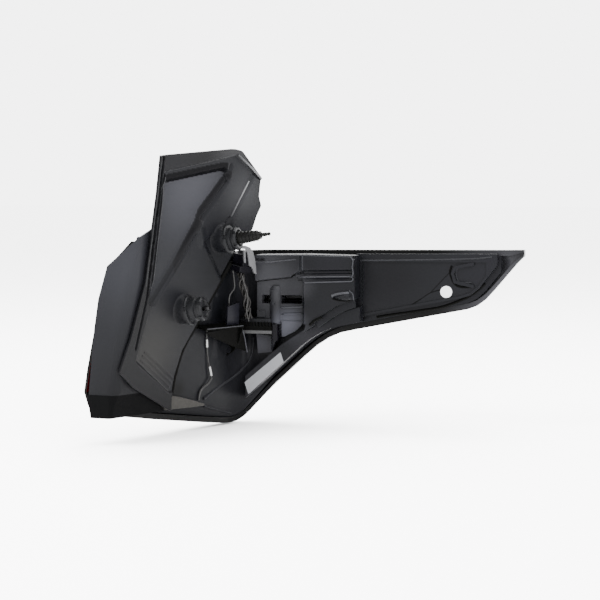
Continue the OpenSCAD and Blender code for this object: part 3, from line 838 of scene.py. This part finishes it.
@dataclass
class MountingPanel:
    """The upright dished panel with its rims, recess, ribs and facets, in the panel's frame.

    Attributes:
        seat_flare: How far a fixing's seat runs out past its radius.
        bead_sink: How deep the painted highlight tubes lie in the face.
        recess_corner: Left end of the recess's top edge, which rises by recess_rise to the right.
        recess_wall: Distance inside the recess's outline at which its floor starts.
        groove_wall: Where the groove above the recess starts and ends, measured in the same way.
        channel_wall: Where the channel below the recess starts and ends.
        margin_start: Distance inside the inner outline up to which the margin reaches.
        flank_turn: How squarely a face has to look inboard to take the groove finish as painted shade.
        flank_limit: Flanks take this painted shade only further inboard than this place of the row frame.
    """

    layout: Layout
    axes: Axes
    edge: Outline = (
        (-146, 98), (-145, 54), (-147, -45), (-153, -77), (-159, -109), (-171, -148), (-146, -168),
        (-80, -203), (-82, -187), (-80, -160), (-72, -130), (-54, -102), (-32, -67), (-4, -22), (21, 13),
        (25, 28), (31, 41), (25, 52), (24, 70), (27, 74), (-14, 106), (-27, 108)
    )
    inner: Outline = (
        (-137, 79.5), (-138, -55), (-132, -71), (-146, -136), (-87, -178), (60, -183), (60, 66), (26, 66),
        (24, 72.5), (-22, 100.5), (-74, 90.5)
    )
    recess: Outline = (
        (-129.5, 64.5), (-39, 79.5), (-33, 77.5), (-68, 38), (-77, 16), (-101, -24), (-131, -67),
        (-124.5, -23), (-126, 30)
    )
    right_field: Outline = ((-16.7, 27.2), (6.8, 70.1), (10, 80), (40, 66), (40, -10), (-8, 0), (-18, 14))
    lower_right: Outline = ((-60, -1), (-24, -45), (-10, -60), (30, -20), (30, 10), (-40, 12))
    rim_line: Outline = ((-137.7, 79.3), (-74, 91.5), (-21.9, 101.7), (25.7, 73.9))
    # Light tubes along the panel's edges: painted highlights.
    highlight_beads: Beads = (
        (((-21, 101.4), (3, 87.8), (24.6, 74)), 1.25),
        (((-137.4, 79.4), (-74, 91.3), (-48, 96.3), (-24, 101)), 0.55),
        (((6.8, 70), (-5, 48.5), (-16.2, 28)), 1.1),
        (((-134.2, 74), (-134, 20), (-133.4, -58)), 0.45),
        (((-143.6, 92), (-144, 20), (-145.2, -50)), 0.35),
        (((-144, -137.6), (-115, -157.5), (-87, -178)), 0.5),
    )
    features: Features = (
        Level(recess, 7, -6.5, 6.5),
        *ridges_along(rim_line, 0.6, 1.8),
        Ridge((-141.2, 96), (-141.2, -60), -3.2, 1.6),
        Ridge((-141.2, -60), (-150, -122), -2.0, 1.8),
        Ridge((-134.2, 76), (-133.6, -60), 1.6, 1.7),
        *ridges_along(((-27.5, 88), (-29.8, 70), (-65.7, 25.4)), -3.0, 3.4),
        Level(right_field, 0, 3.0, 3.2),
        Ridge((-19, 26), (-35, 2), -2.4, 2.6),
        Level(lower_right, 0, -3.4, 5.0),
        Ridge((-74, 12), (-131, -69), 1.4, 3.4),
        Ridge((-70, 8), (-127, -73), -1.2, 1.8),
        Ridge((-70, 22), (-60, -2), 1.6, 9.0),
        *(Ridge((-138 + i * 2.6, -136 + i * 4.2), (-86 + i * 2.4, -173 + i * 4.6), 0.9, 1.0)
          for i in range(3)),
    )
    rim_rise: float = 2.4
    rim_run: float = 1.6
    wall: float = 2.5
    rows: int = 250
    columns: int = 150
    seat_r: float = 16.0
    seat_flare: float = 3.0
    seat_run: float = 4.0
    bead_sink: float = 0.25
    recess_corner: Point = (-129.5, 64.5)
    recess_rise: float = 0.166
    recess_wall: float = -1.0
    groove_wall: Point = (-12.5, -0.5)
    groove_right: float = -33.0
    channel_wall: Point = (-8.5, -1.5)
    channel_left: float = -100.0
    margin_start: float = 0.4
    flank_turn: float = -0.6
    flank_limit: float = -90.0

    def _highlight_beads(self) -> None:
        """Adds the panel's painted highlights, light tubes along its edges."""
        shape = Shape(self.axes)
        for line, radius in self.highlight_beads:
            w, v = fine_line(line)
            heights = self._heights(w, v) - self.bead_sink
            shape.tube(list(zip(heights, w, v)), radius, BEAD_SIDES, steps=2)
        shape.done("panel_edge_beads", Finishes.edge)

    def _heights(self, w: np.ndarray, v: np.ndarray) -> np.ndarray:
        """Works out the panel's front.

        Args:
            w: Places across.
            v: Places up.

        Returns:
            Its height over the base plane at each place.
        """
        field = HeightField(w, v)
        field.h += self.rim_rise * soft_step(-field.inside(self.inner) / self.rim_run)
        field.add(self.features)
        return self._with_seats(field)

    def _with_seats(self, field: HeightField) -> np.ndarray:
        """Adds the round seats of the two fixings, square to the fixing axis.

        Args:
            field: The front without its seats.

        Returns:
            The heights with them.
        """
        tilt = math.radians(self.layout.stud_tilt)
        axis = self.axes.turn.transposed() @ Vector((math.cos(tilt), 0, math.sin(tilt)))
        for spot in (self.layout.upper_spot, self.layout.lower_spot):
            across, up = field.w - spot[0], field.v - spot[1]
            face = (self.layout.seat_lift - across * axis.y - up * axis.z) / axis.x
            reach = face * axis.x + across * axis.y + up * axis.z
            off = np.sqrt(np.maximum(face ** 2 + across ** 2 + up ** 2 - reach ** 2, 0))
            share = soft_step((self.seat_r + self.seat_flare - off) / self.seat_run)
            field.h = np.maximum(field.h, field.h + (face - field.h) * share)
        return field.h

    def _zones(self, w: np.ndarray, v: np.ndarray) -> np.ndarray:
        """Finds the zone of each face of the front.

        Args:
            w: Places of the grid across.
            v: Places of the grid up.

        Returns:
            The numbers of the zones, in the order of the faces.
        """
        middles = np.stack([w[:-1, :-1] + w[1:, 1:], v[:-1, :-1] + v[1:, 1:]]) / 2
        places = HeightField(middles[0], middles[1])
        recess = places.inside(self.recess)
        corner_w, corner_v = self.recess_corner
        above = places.v - corner_v - (places.w - corner_w) * self.recess_rise
        in_groove = (recess > self.groove_wall[0]) & (recess < self.groove_wall[1])
        in_channel = (recess > self.channel_wall[0]) & (recess < self.channel_wall[1])
        # The recess takes painted light; the groove above it, the channel below it and the margin take
        # painted shade.
        zones = (
            (recess > self.recess_wall, Zone.RECESS),
            (in_groove & (above > 0) & (places.w < self.groove_right), Zone.GROOVE),
            (in_channel & (above < 0) & (places.w > self.channel_left), Zone.CHANNEL),
            (places.inside(self.inner) < self.margin_start, Zone.MARGIN),
        )
        tests, numbers = zip(*zones)
        return np.select(tests, [int(number) for number in numbers], int(Zone.FIELD)).ravel()

    def build(self) -> bpy.types.Object:
        """Makes the panel as a sheet with its real thickness, and its painted highlight tubes.

        Returns:
            The panel.
        """
        w, v = outline_grid(self.edge, self.rows, self.columns)
        front = self._heights(w, v)
        bm = bmesh.new()
        sheets = [[[self.axes.point(*p) for p in zip(*row)] for row in zip(height, w, v)]
                  for height in (front, front - self.wall)]
        closed_sheet(bm, *sheets)
        zones = self._zones(w, v)
        bm.faces.ensure_lookup_table()
        for number in np.flatnonzero(zones):
            bm.faces[int(number)].material_index = int(zones[number])
        bm.normal_update()
        # Faces that look inboard take the groove finish: painted shade on the flanks.
        for face in bm.faces:
            if face.normal.y < self.flank_turn and face.calc_center_median().y < self.flank_limit * MM:
                face.material_index = Zone.GROOVE
        piece = make_piece("mounting_panel_finished", bm, Finishes.panel, ("mounting_panel",), crease=80.0)
        self._highlight_beads()
        for finish in (Finishes.recess, Finishes.margin, Finishes.groove, Finishes.channel):
            piece.data.materials.append(finish.material())
        return piece


@dataclass
class BlockFace:
    """The stepped front of the housing's block, with its windows, tube boss and dome."""

    axes: Axes
    outline: Outline = (
        (-90, -24.2), (-30, -23.2), (30, -24.2), (33, -29), (32.4, -38), (33, -47), (33, -76), (12, -84),
        (-6, -95), (-24, -107.6), (-90, -107)
    )
    upper_left: Outline = ((-95, -10), (-35, -10), (-35, -42), (-38, -45), (-46, -50.3), (-95, -56))
    middle_left: Outline = (
        (-95, -56.8), (-46, -51), (-41, -47), (-33, -50), (-31, -60), (-31, -120), (-95, -120)
    )
    window: Outline = ((-83.2, -82.6), (-34.6, -82.6), (-34.6, -73.6), (-83.2, -73.6))
    small_box: Outline = ((-91, -91.5), (-79, -91.5), (-79, -101), (-91, -101))
    dome: Outline = (
        (3.5, -74), (10, -70.5), (20, -67.8), (28, -66.8), (31, -70), (31.4, -76), (28, -79.5), (18, -79),
        (9, -77)
    )
    end_lip: Outline = (
        (28, -25.5), (31.3, -29), (30.3, -38), (31.5, -46), (29, -49.3), (31.5, -52), (29.5, -54.6)
    )
    low_lip: Outline = ((26.5, -65.5), (31, -70), (31.5, -77))
    # Light tubes along the block's edges: painted highlights.
    highlight_beads: Beads = (
        (((-38, -50.4), (28.5, -49)), 0.75),
        (((-28.5, -57), (29, -54.7)), 0.85),
        (((28, -25.5), (31.3, -29), (30.3, -38), (31.5, -46), (29.5, -49.3), (31.5, -52), (29.3, -54.8)),
            0.7),
        (((26.5, -65.5), (31.4, -70), (32, -77)), 0.6),
        (((-77, -33.2), (-39, -29.2)), 0.6),
        (((5, -72.6), (12, -70.6), (20, -69.3), (27, -69.0)), 2.3),
        (((-59, -88.2), (-32, -86.6)), 0.7),
        (((-31.5, -24.5), (-31.5, -42)), 0.5),
        (((-88, -24.9), (-32, -24.2), (28, -25.4)), 0.45),
    )
    # Near-black tubes below ridges and the dome: painted shadow lines.
    shadow_beads: Beads = (
        (((-90, -56.2), (-46, -50.9), (-40.8, -46.4)), 0.9),
        (((6, -75.8), (14, -77.6), (24, -78.2), (28.5, -77)), 1.0),
        (((-30, -44.8), (28, -43.4)), 0.8),
    )
    low_wall: Outline = (
        (-18, -106), (-9, -94), (3, -83.5), (15.5, -79), (31.5, -74), (33, -86), (19, -91), (5.5, -98.5),
        (-14, -112)
    )
    low_plate: Outline = (
        (-59, -104), (-31.5, -104), (-32, -107), (-42, -116.5), (-56, -123.5), (-59, -123.5)
    )
    features: Features = (
        Level(upper_left, 1, 2.0, 1.4),
        Level(middle_left, 0.6, -6.0, 1.2),
        Ridge((-31.5, -20), (-31.5, -43), 1.4, 2.0),
        Ridge((-38, -46), (-34, -46), -2.8, 2.2),
        Ridge((-96, -30.4), (-80, -30.4), -4.2, 2.4),
        Ridge((-77, -33.2), (-39, -29.2), 1.3, 1.3),
        Ridge((-30, -45), (28, -43.5), -4.2, 3.2),
        Ridge((-38, -50.8), (29, -49.3), 1.6, 1.7),
        Ridge((-29, -57), (29.5, -54.6), 1.6, 1.6),
        Ridge((-38, -53.9), (25, -52.2), -0.9, 1.2),
        *ridges_along(end_lip, 1.2, 1.6),
        *ridges_along(low_lip, 1.2, 1.6),
        Level(dome, 0, 6.5, 4.5),
        Level(window, 0.3, -22.0, 0.9),
        Ridge((-58, -80.4), (-36, -79.8), 14.0, 1.7),
        Ridge((-59, -88.2), (-32, -86.6), 1.2, 1.3),
        Ridge((-59, -96), (-32, -94.6), -1.8, 1.0),
        Level(small_box, 0, 1.6, 1.2),
    )
    tube_mark: Features = (Ridge((-67.8, -83), (-67.2, -83), -2.0, 1.5),)
    low_wall_span: Point = (-52.0, -48.0)
    low_plate_span: Point = (-54.5, -51.0)
    depth: float = 59.0
    wall: float = 3.2
    rows: int = 150
    columns: int = 180
    tube_x: float = -67.0
    tube_r: float = 7.2
    tube_top: float = -63.5
    tube_sink: float = 9.0
    tube_fade: float = 3.0
    bead_sink: float = 0.2

    def _heights(self, x: np.ndarray, z: np.ndarray) -> np.ndarray:
        """Works out the block's front.

        Args:
            x: Places along the side.
            z: Places up.

        Returns:
            Its height over the base depth at each place.
        """
        field = HeightField(x, z)
        field.add(self.features)
        across = np.clip(1 - ((x - self.tube_x) / self.tube_r) ** 2, 0, 1)
        fade = np.clip((self.tube_top - z) / self.tube_fade, 0, 1)
        tube = self.tube_r * np.sqrt(across) * np.sqrt(fade) - self.tube_sink
        field.h = np.maximum(field.h, np.where(across > 0, tube, -99.0))
        field.add(self.tube_mark)
        return field.h

    def painted_edges(self) -> None:
        """Adds light tubes along the block's edges as painted highlights, and near-black ones below them as
        painted shadow.
        """
        for name, finish, lines in (("housing_highlight_beads", Finishes.lit, self.highlight_beads),
                                    ("housing_shadow_edges", Finishes.shade, self.shadow_beads)):
            shape = Shape(self.axes)
            for line, radius in lines:
                x, z = fine_line(line)
                depths = self._heights(x, z) + self.depth - self.bead_sink
                shape.tube(list(zip(x, -depths, z)), radius, BEAD_SIDES, steps=2)
            shape.done(name, finish)

    def build(self) -> Shape:
        """Makes the block's front, the wall below it and the low plate.

        Returns:
            The shape that holds them.
        """
        x, z = outline_grid(self.outline, self.rows, self.columns)
        front = self._heights(x, z) + self.depth
        shape = Shape(self.axes)
        sheets = [[[self.axes.point(*p) for p in zip(*row)] for row in zip(x, -depth, z)]
                  for depth in (front, front - self.wall)]
        closed_sheet(shape.bm, *sheets)
        shape.prism(self.low_wall, self.low_wall_span, 0.8, Along.Y)
        shape.prism(self.low_plate, self.low_plate_span, 0.6, Along.Y)
        return shape


@dataclass
class Casing:
    """The lens, the housing and the side cover, with painted highlight and shadow lines in the row frame.

    Attributes:
        steep: How squarely a lens face has to look out of the car to count as wall.
        ray_start: How far off a face the ray starts that finds what lies in front of it.
        lip_reach: Distance from the wall beyond which a face belongs to the rim.
        strip_reach: The same at the rear end, where a strip of red shows.
        lift: How far the cover's top is raised, from lift_start on and fully after lift_run.
        skirt_edge: How far above its top the dark skirt reaches.
    """

    copies: NodeCopies
    frames: Frames
    layout: Layout
    rib: Route = (
        (-88, 33, -200), (-80, 54, -189), (-69, 79, -178), (-57, 93.5, -164), (-51, 98, -150),
        (-49, 99, -129)
    )
    ledge: Route = ((-88, 34, -209), (-80, 64, -218), (-72, 82, -223))
    arm_line: Route = ((86, 108, -33), (153, 114, -31.5), (219, 119.5, -29.5), (245, 122, -27))
    hook_highlight: Route = (
        (222, 121.3, -37), (208, 120.6, -38), (203, 120.2, -43), (202, 120.2, -49), (205, 120.3, -56),
        (210, 120.6, -58), (221, 121.7, -58)
    )
    hook_shadow: Route = (
        (197, 119.7, -38), (195, 119.5, -45), (197, 119.7, -53), (201, 120, -60), (208, 120.6, -63),
        (220, 121.6, -63)
    )
    fold: Route = ((147, 113.6, -87), (159, 116.3, -79), (171, 117.4, -71), (183, 118.4, -67))
    branch: Route = ((171, 117.4, -71), (195, 119.5, -45.5))
    pocket: Route = ((34, 72.5, -110), (40, 73, -104.5), (49, 73.8, -100))
    arm_gap: Route = (
        (104, 119.3, -102), (120, 120.7, -99), (157, 124, -93), (187, 126.6, -87), (217, 129.2, -74),
        (235, 130.8, -59)
    )
    # Light tubes along the wall and the arm paint highlights; near-black ones paint shadow lines.
    highlight_lines: Beads = ((rib, 1.6), (ledge, 1.2), (arm_line, 1.0), (hook_highlight, 1.1))
    shadow_lines: Beads = ((hook_shadow, 1.3), (fold, 0.5), (branch, 0.4), (pocket, 1.7), (arm_gap, 1.6))
    # Line of the near-black tube that paints the shadow in the gap behind the panel's edge.
    gap_line: Outline = ((-75, -184), (-73, -160), (-65, -130), (-47, -102), (-25, -67), (-1, -30))
    gap_depth: float = -6.5
    gap_r: float = 3.2
    side_start: float = -30.0
    rear_end: float = -120.0
    strip_low: float = -196.0
    steep: float = 0.6
    ray_start: float = 0.2
    ray_reach: float = 150.0
    lip_reach: float = 1.0
    strip_reach: float = 4.5
    cover_top: float = -8.0
    lift: float = 9.0
    lift_start: float = -120.0
    lift_run: float = 12.0
    skirt_edge: float = 0.2

    def build(self) -> None:
        """Makes the three casing pieces and the painted highlight and shadow lines on them."""
        lens = self.copies.rounded("outer_lens", Finishes.lens, 0.7, segments=3, angle=40.0)
        self._second(lens, Finishes.rim, self._rim_test(lens))
        face = BlockFace(self.frames.side)
        block = face.build()
        self.copies.rounded("lamp_housing", Finishes.housing, 0.5, angle=42.0, extra=block, crease=60.0)
        face.painted_edges()
        self._wall_lines()
        cover = self.copies.rounded("side_cover", Finishes.cover, 0.6, segments=3, angle=40.0)
        for vert in cover.data.vertices:
            if vert.co.z > self.cover_top * MM:
                share = min(1.0, max(0.0, (vert.co.y / MM - self.lift_start) / self.lift_run))
                vert.co.z += self.lift * MM * share
        limit = self.frames.world.point(0, 0, self.layout.skirt_top + self.skirt_edge).z
        self._second(cover, Finishes.skirt, lambda face: face.center.z < limit)

    def _wall_lines(self) -> None:
        """Adds the painted highlight and shadow lines of the wall and the arm, and a near-black tube behind
        the panel's edge that paints the shadow in the gap there.
        """
        for name, finish, lines in (("housing_wall_highlights", Finishes.rib, self.highlight_lines),
                                    ("housing_wall_shadows", Finishes.shade, self.shadow_lines)):
            shape = Shape(self.frames.row)
            for line, radius in lines:
                shape.tube(line, radius, BEAD_SIDES, steps=4)
            shape.done(name, finish)
        gap = Shape(self.frames.panel)
        gap.tube([(self.gap_depth, w, v) for w, v in self.gap_line], self.gap_r, sides=10, steps=4)
        gap.done("housing_gap_shadow", Finishes.shade)

    def _facing(self, face: Face) -> float:
        """Returns how squarely a face looks out of the car, and less than nothing where it looks in."""
        rear = -face.normal.x if face.center.x < self.side_start * MM else 0.0
        return max(face.normal.y, rear, key=abs)

    def _rim_test(self, lens: bpy.types.Object) -> Callable[[Face], bool]:
        """Tells the rims and lips of the lens from its wall.

        Args:
            lens: The lens.

        Returns:
            A test of a face that is true on the rims and lips.
        """
        mesh = lens.data
        points = [v.co for v in mesh.vertices]
        whole = BVHTree.FromPolygons(points, [tuple(f.vertices) for f in mesh.polygons])

        def is_open(face: Face) -> bool:
            """Returns whether nothing of the lens lies in front of a face."""
            start = Vector(face.center) + face.normal * self.ray_start * MM
            return whole.ray_cast(start, face.normal, self.ray_reach * MM)[0] is None

        wall = [tuple(f.vertices) for f in mesh.polygons if self._facing(f) > self.steep and is_open(f)]
        tree = BVHTree.FromPolygons(points, wall)

        def is_rim(face: Face) -> bool:
            """Tells whether a face is steep or lies away from the wall.

            Args:
                face: A face of the lens.

            Returns:
                True on the rims and lips.
            """
            gap = tree.find_nearest(face.center)[3]
            if face.center.x < self.rear_end * MM and face.center.z > self.strip_low * MM:
                return abs(face.normal.z) > self.steep or gap > self.strip_reach * MM
            return self._facing(face) < self.steep or gap > self.lip_reach * MM

        return is_rim

    @staticmethod
    def _second(piece: bpy.types.Object, finish: Finish, chosen: Callable[[Face], bool]) -> None:
        """Gives some faces of a piece a second finish.

        Args:
            piece: The piece.
            finish: The second finish.
            chosen: A test that is true on those faces.
        """
        piece.data.materials.append(finish.material())
        for face in piece.data.polygons:
            if chosen(face):
                face.material_index = 1


@dataclass
class Fixings:
    """The grommets, the locating pin and the stud."""

    copies: NodeCopies
    roundings: tuple[tuple[str, Finish, float], ...] = (
        ("upper_grommet", Finishes.rubber, 0.35),
        ("lower_grommet", Finishes.rubber, 0.35),
        ("locating_pin", Finishes.nylon, 0.25),
        ("lower_stud", Finishes.steel, 0.3),
    )

    def build(self) -> None:
        """Makes the fixings."""
        for node, finish, width in self.roundings:
            self.copies.rounded(node, finish, width)


@dataclass
class Loom:
    """The connector, its clip and the wires, in the panel's frame."""

    copies: NodeCopies
    axes: Axes
    start: Place = (0, 13, -41)
    end: Place = (6, 33, -97)
    turns: float = 520.0
    cuts: int = 32
    twist: float = 2.6
    wire_r: float = 1.3
    strands: tuple[Point, ...] = ((0, 2.6), (120, 2.6), (240, 2.6), (60, 6.0), (200, 5.0))
    pale_r: float = 0.8
    leads: tuple[Route, ...] = (
        ((-4, 3, -38), (-4, 7.7, -50.9), (-4, 9.6, -60.8), (-4, 3, -70.2), (-4, 4.8, -84)),
        ((7.5, 8, -43), (7.5, 15, -56), (7.5, 23, -70), (7.8, 23.5, -86), (8, 30, -100)),
    )
    lever: Outline = (
        (-3.2, -6.3), (3.8, -5.7), (12.2, -8.0), (18.6, -13.6), (23.5, -22.3), (26.8, -31.0),
        (30.3, -41.6), (25.7, -40.2), (20.5, -32.6), (15.3, -30.6), (12.2, -21.9), (8.4, -13.3),
        (4.6, -9.9), (-1.7, -9.4)
    )
    lever_ridge: Outline = ((3.9, -13.6), (6.6, -13.7), (9.7, -27.1), (7.0, -27.0))
    lever_span: Point = (8.3, 11.0)
    lever_ridge_span: Point = (7.0, 9.4)
    bar: Outline = ((1, -38.5), (27, -38.5), (27, -31.5), (1, -31.5))
    bar_span: Point = (-6.0, 8.9)

    def _strand(self, phase: float, reach: float) -> list[Vector]:
        """Winds one wire of the bundle.

        Args:
            phase: Where round the bundle it starts, in degrees.
            reach: How far it swings across, in millimetres.

        Returns:
            The points of the wire.
        """
        start, end = Vector(self.start), Vector(self.end)
        points = []
        for i in range(self.cuts + 1):
            k = i / self.cuts
            turn = math.radians(phase + self.turns * k)
            swing = Vector((math.sin(turn) * self.twist, math.cos(turn) * reach, 0))
            points.append(start + (end - start) * k + swing)
        return points

    def build(self) -> None:
        """Makes the loom."""
        bar = Shape(self.axes).prism(self.bar, self.bar_span, 0.7)
        self.copies.rounded("wiring_connector", Finishes.connector, 0.5, extra=bar)
        lever = Shape(self.axes).prism(self.lever, self.lever_span, 0.7)
        lever.prism(self.lever_ridge, self.lever_ridge_span, 0.4)
        lever.done("connector_clip_finished", Finishes.clip, ("connector_clip",), FORM_CREASE)
        bundle = Shape(self.axes)
        for phase, reach in self.strands:
            bundle.tube(self._strand(phase, reach), self.wire_r, sides=12, steps=3)
        bundle.done("harness_wires_finished", Finishes.wire, ("harness_wires",))
        pale = Shape(self.axes)
        for line in self.leads:
            pale.tube(line, self.pale_r)
        pale.done("pale_leads_finished", Finishes.pale_wire, ("pale_leads",))


@dataclass
class LowerFittings:
    """The shelf, the contact comb, the drain lead and the foam, in the panel's frame."""

    copies: NodeCopies
    axes: Axes
    layout: Layout
    web_edge: Outline = ((23, -107), (31.5, -121.5), (36.5, -133), (40, -140.5))
    web: Outline = ((-38, -110.5), *web_edge, (17, -133), (-20, -119.5), (-33, -114))
    upright: Outline = ((-4, -81.5), (15.5, -78), (19.5, -105), (-1.5, -105))
    web_span: Point = (1.6, 3.2)
    web_highlight_r: float = 0.9
    upright_span: Point = (0.0, 2.0)
    # Light tubes along the shelf's and the gusset's edges: painted highlights.
    shelf_highlight: Route = ((8, -42, -105), (8.2, -10, -105), (8, 21, -105))
    shelf_highlight_r: float = 0.6
    lead: Outline = (
        (-22, -110), (-21, -120), (-18, -134), (-13, -150), (-6, -166), (-3, -173), (-8, -179),
        (-18, -185), (-21, -192), (-21, -199)
    )
    sleeves: tuple[Outline, ...] = (((-20.5, -123.5), (-18.5, -133)), ((-9.5, -158), (-4.5, -169.5)))
    roundings: tuple[tuple[str, Finish, float], ...] = (
        ("contact_comb", Finishes.shade, 0.25),
        ("comb_strip", Finishes.strip, 0.3),
        ("tube_boss_clip", Finishes.connector, 0.4),
    )
    lead_lift: float = 1.4
    lead_split: int = 5
    thin_r: float = 0.75
    thick_r: float = 1.15
    sleeve_r: float = 1.25
    sleeve_lift: float = 0.4
    foam_edge: float = 2.0
    foam_rounds: int = 5
    foam_waves: tuple[Point, Point] = ((180, 0.5), (700, 0.22))
    foam_sink: float = 0.35

    def build(self) -> None:
        """Makes the lower fittings."""
        self._shelf()
        for node, finish, width in self.roundings:
            self.copies.rounded(node, finish, width)
        self._crumple(self.copies.rounded("foam_seal", Finishes.foam, 1.2, segments=3))
        self._drain()

    def _shelf(self) -> None:
        """Makes the shelf with its curved gusset, its upright plate and light tubes along its edges as
        painted highlights.
        """
        web = Shape(self.axes).prism(self.web, self.web_span, 0.4)
        self.copies.rounded("shelf_bracket", Finishes.shade, 0.4, extra=web)
        upright = Shape(self.axes).prism(self.upright, self.upright_span, 0.5)
        upright.done("shelf_block_finished", Finishes.block, crease=FORM_CREASE)
        face = self.web_span[1]
        edge = Shape(self.axes).tube([(face, *p) for p in self.web_edge], self.web_highlight_r)
        edge.tube(self.shelf_highlight, self.shelf_highlight_r)
        edge.done("shelf_highlight_beads", Finishes.lit)

    def _drain(self) -> None:
        """Makes the bent lead, thicker at its lower part, and its two white sleeves, which also stand for
        two bright glints on the lead as painted highlights.
        """
        depth = self.lead_lift - self.layout.wall_back
        route = [(depth, *p) for p in self.lead]
        lead = Shape(self.axes).tube(route[:self.lead_split + 1], self.thin_r)
        lead.tube(route[self.lead_split:], self.thick_r)
        lead.done("drain_lead_finished", Finishes.pale_wire, ("drain_lead",))
        sleeves = Shape(self.axes)
        for p, q in self.sleeves:
            middle = ((p[0] + q[0]) / 2, (p[1] + q[1]) / 2)
            sleeves.tube([(depth + self.sleeve_lift, *end) for end in (p, middle, q)], self.sleeve_r)
        sleeves.done("lead_sleeves_and_glints", Finishes.sleeve)

    def _crumple(self, foam: bpy.types.Object) -> None:
        """Cuts the foam finer and gives it an uneven skin.

        Args:
            foam: The foam.
        """
        bm = bmesh.new()
        bm.from_mesh(foam.data)
        bmesh.ops.triangulate(bm, faces=bm.faces)
        for _ in range(self.foam_rounds):
            long_edges = [e for e in bm.edges if e.calc_length() > self.foam_edge * MM]
            bmesh.ops.subdivide_edges(bm, edges=long_edges, cuts=1)
            bmesh.ops.triangulate(bm, faces=bm.faces)
        bm.normal_update()
        for vert in bm.verts:
            lift = sum(noise.noise(vert.co * scale) * height for scale, height in self.foam_waves)
            vert.co += vert.normal * (lift - self.foam_sink) * MM
        bm.to_mesh(foam.data)
        bm.free()


@dataclass
class Internals:
    """The sealed inner pieces and the flat outer ones, which keep their CAD shapes."""

    copies: NodeCopies
    finishes: tuple[tuple[str, Finish], ...] = (
        ("inner_bezel", Finishes.bezel),
        ("rear_light_guide", Finishes.guide),
        ("side_light_guide", Finishes.guide),
        ("reflex_reflector", Finishes.reflex),
        ("rear_led_board", Finishes.board),
        ("side_led_board", Finishes.board),
        ("rear_leds", Finishes.led),
        ("side_leds", Finishes.led),
        ("panel_gasket", Finishes.rubber),
        ("vent_membrane", Finishes.vent),
        ("blank_label", Finishes.paper),
    )

    def build(self) -> None:
        """Gives each of them its finish."""
        for node, finish in self.finishes:
            self.copies.kept(node, finish)


@dataclass
class Studio:
    """The camera of the photograph, the floor and the soft lights."""

    azimuth: float = 20.0
    elevation: float = 4.0
    eye: Place = (648.54, -1649.98, 48.19)
    lens: float = 91.53
    sensor: float = 36.0
    clip_end: float = 50.0
    floor_size: float = 30.0
    floor_drop: float = 0.002
    floor_tone: float = 0.97
    world_strength: float = 5.5
    lights: tuple[tuple[str, Place, float, float], ...] = (
        ("key", (-1.3, -1.3, 1.7), 1.3, 160.0),
        ("fill", (1.9, -1.3, 0.7), 1.4, 30.0),
        ("top", (0.1, 0.3, 2.0), 1.6, 150.0),
    )

    def build(self, floor_height: float) -> None:
        """Makes the studio round the lamp.

        Args:
            floor_height: Height of the lamp's lowest point, in metres.
        """
        self._camera()
        self._floor(floor_height)
        self._world()
        for name, place, size, power in self.lights:
            self._light(name, place, size, power)

    def _camera(self) -> None:
        """Makes the camera."""
        data = bpy.data.cameras.new("camera")
        data.lens = self.lens
        data.sensor_width = self.sensor
        data.clip_end = self.clip_end
        camera = add_object("camera", data)
        camera.location = Vector(self.eye) * MM
        camera.rotation_euler = (math.radians(90 - self.elevation), 0, math.radians(self.azimuth))
        bpy.context.scene.camera = camera

    def _floor(self, height: float) -> None:
        """Makes the plain pale floor just under the lamp.

        Args:
            height: Height of the lamp's lowest point, in metres.
        """
        bm = bmesh.new()
        place = Matrix.Translation((0, 0, height - self.floor_drop))
        bmesh.ops.create_grid(bm, x_segments=1, y_segments=1, size=self.floor_size, matrix=place)
        mesh = bpy.data.meshes.new("floor")
        bm.to_mesh(mesh)
        bm.free()
        pale = bpy.data.materials.new("pale_floor")
        pale.use_nodes = True
        look = {"Base Color": (*[self.floor_tone] * 3, 1.0), "Roughness": 0.9, "Specular IOR Level": 0.0}
        feed(pale.node_tree, pale.node_tree.nodes["Principled BSDF"], look)
        mesh.materials.append(pale)
        floor = add_object("floor", mesh)
        floor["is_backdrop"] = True

    def _world(self) -> None:
        """Makes the even white surroundings."""
        world = bpy.data.worlds.new("studio")
        world.use_nodes = True
        white = {"Color": (1.0, 1.0, 1.0, 1.0), "Strength": self.world_strength}
        feed(world.node_tree, world.node_tree.nodes["Background"], white)
        bpy.context.scene.world = world

    @staticmethod
    def _light(name: str, place: Place, size: float, power: float) -> None:
        """Makes one square soft light that points at the lamp.

        Args:
            name: Its name.
            place: Where it stands, in metres.
            size: Length of its side, in metres.
            power: Its power in watts.
        """
        data = bpy.data.lights.new(name, "AREA")
        data.size = size
        data.energy = power
        light = add_object(name, data)
        light.location = place
        light.rotation_euler = (-Vector(place)).to_track_quat("-Z", "Y").to_euler()


def main() -> None:
    """Builds the dressed lamp and its studio."""
    logging.basicConfig(level=logging.INFO, format="%(message)s")
    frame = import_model()
    cad_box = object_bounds()
    layout = Layout()
    frames = Frames(layout)
    copies = NodeCopies(frame["nodes"])
    Studio().build(cad_box[0].z)
    MountingPanel(layout, frames.panel).build()
    Casing(copies, frames, layout).build()
    Fixings(copies).build()
    Loom(copies, frames.panel).build()
    LowerFittings(copies, frames.panel, layout).build()
    Internals(copies).build()


if __name__ == "__main__":
    main()
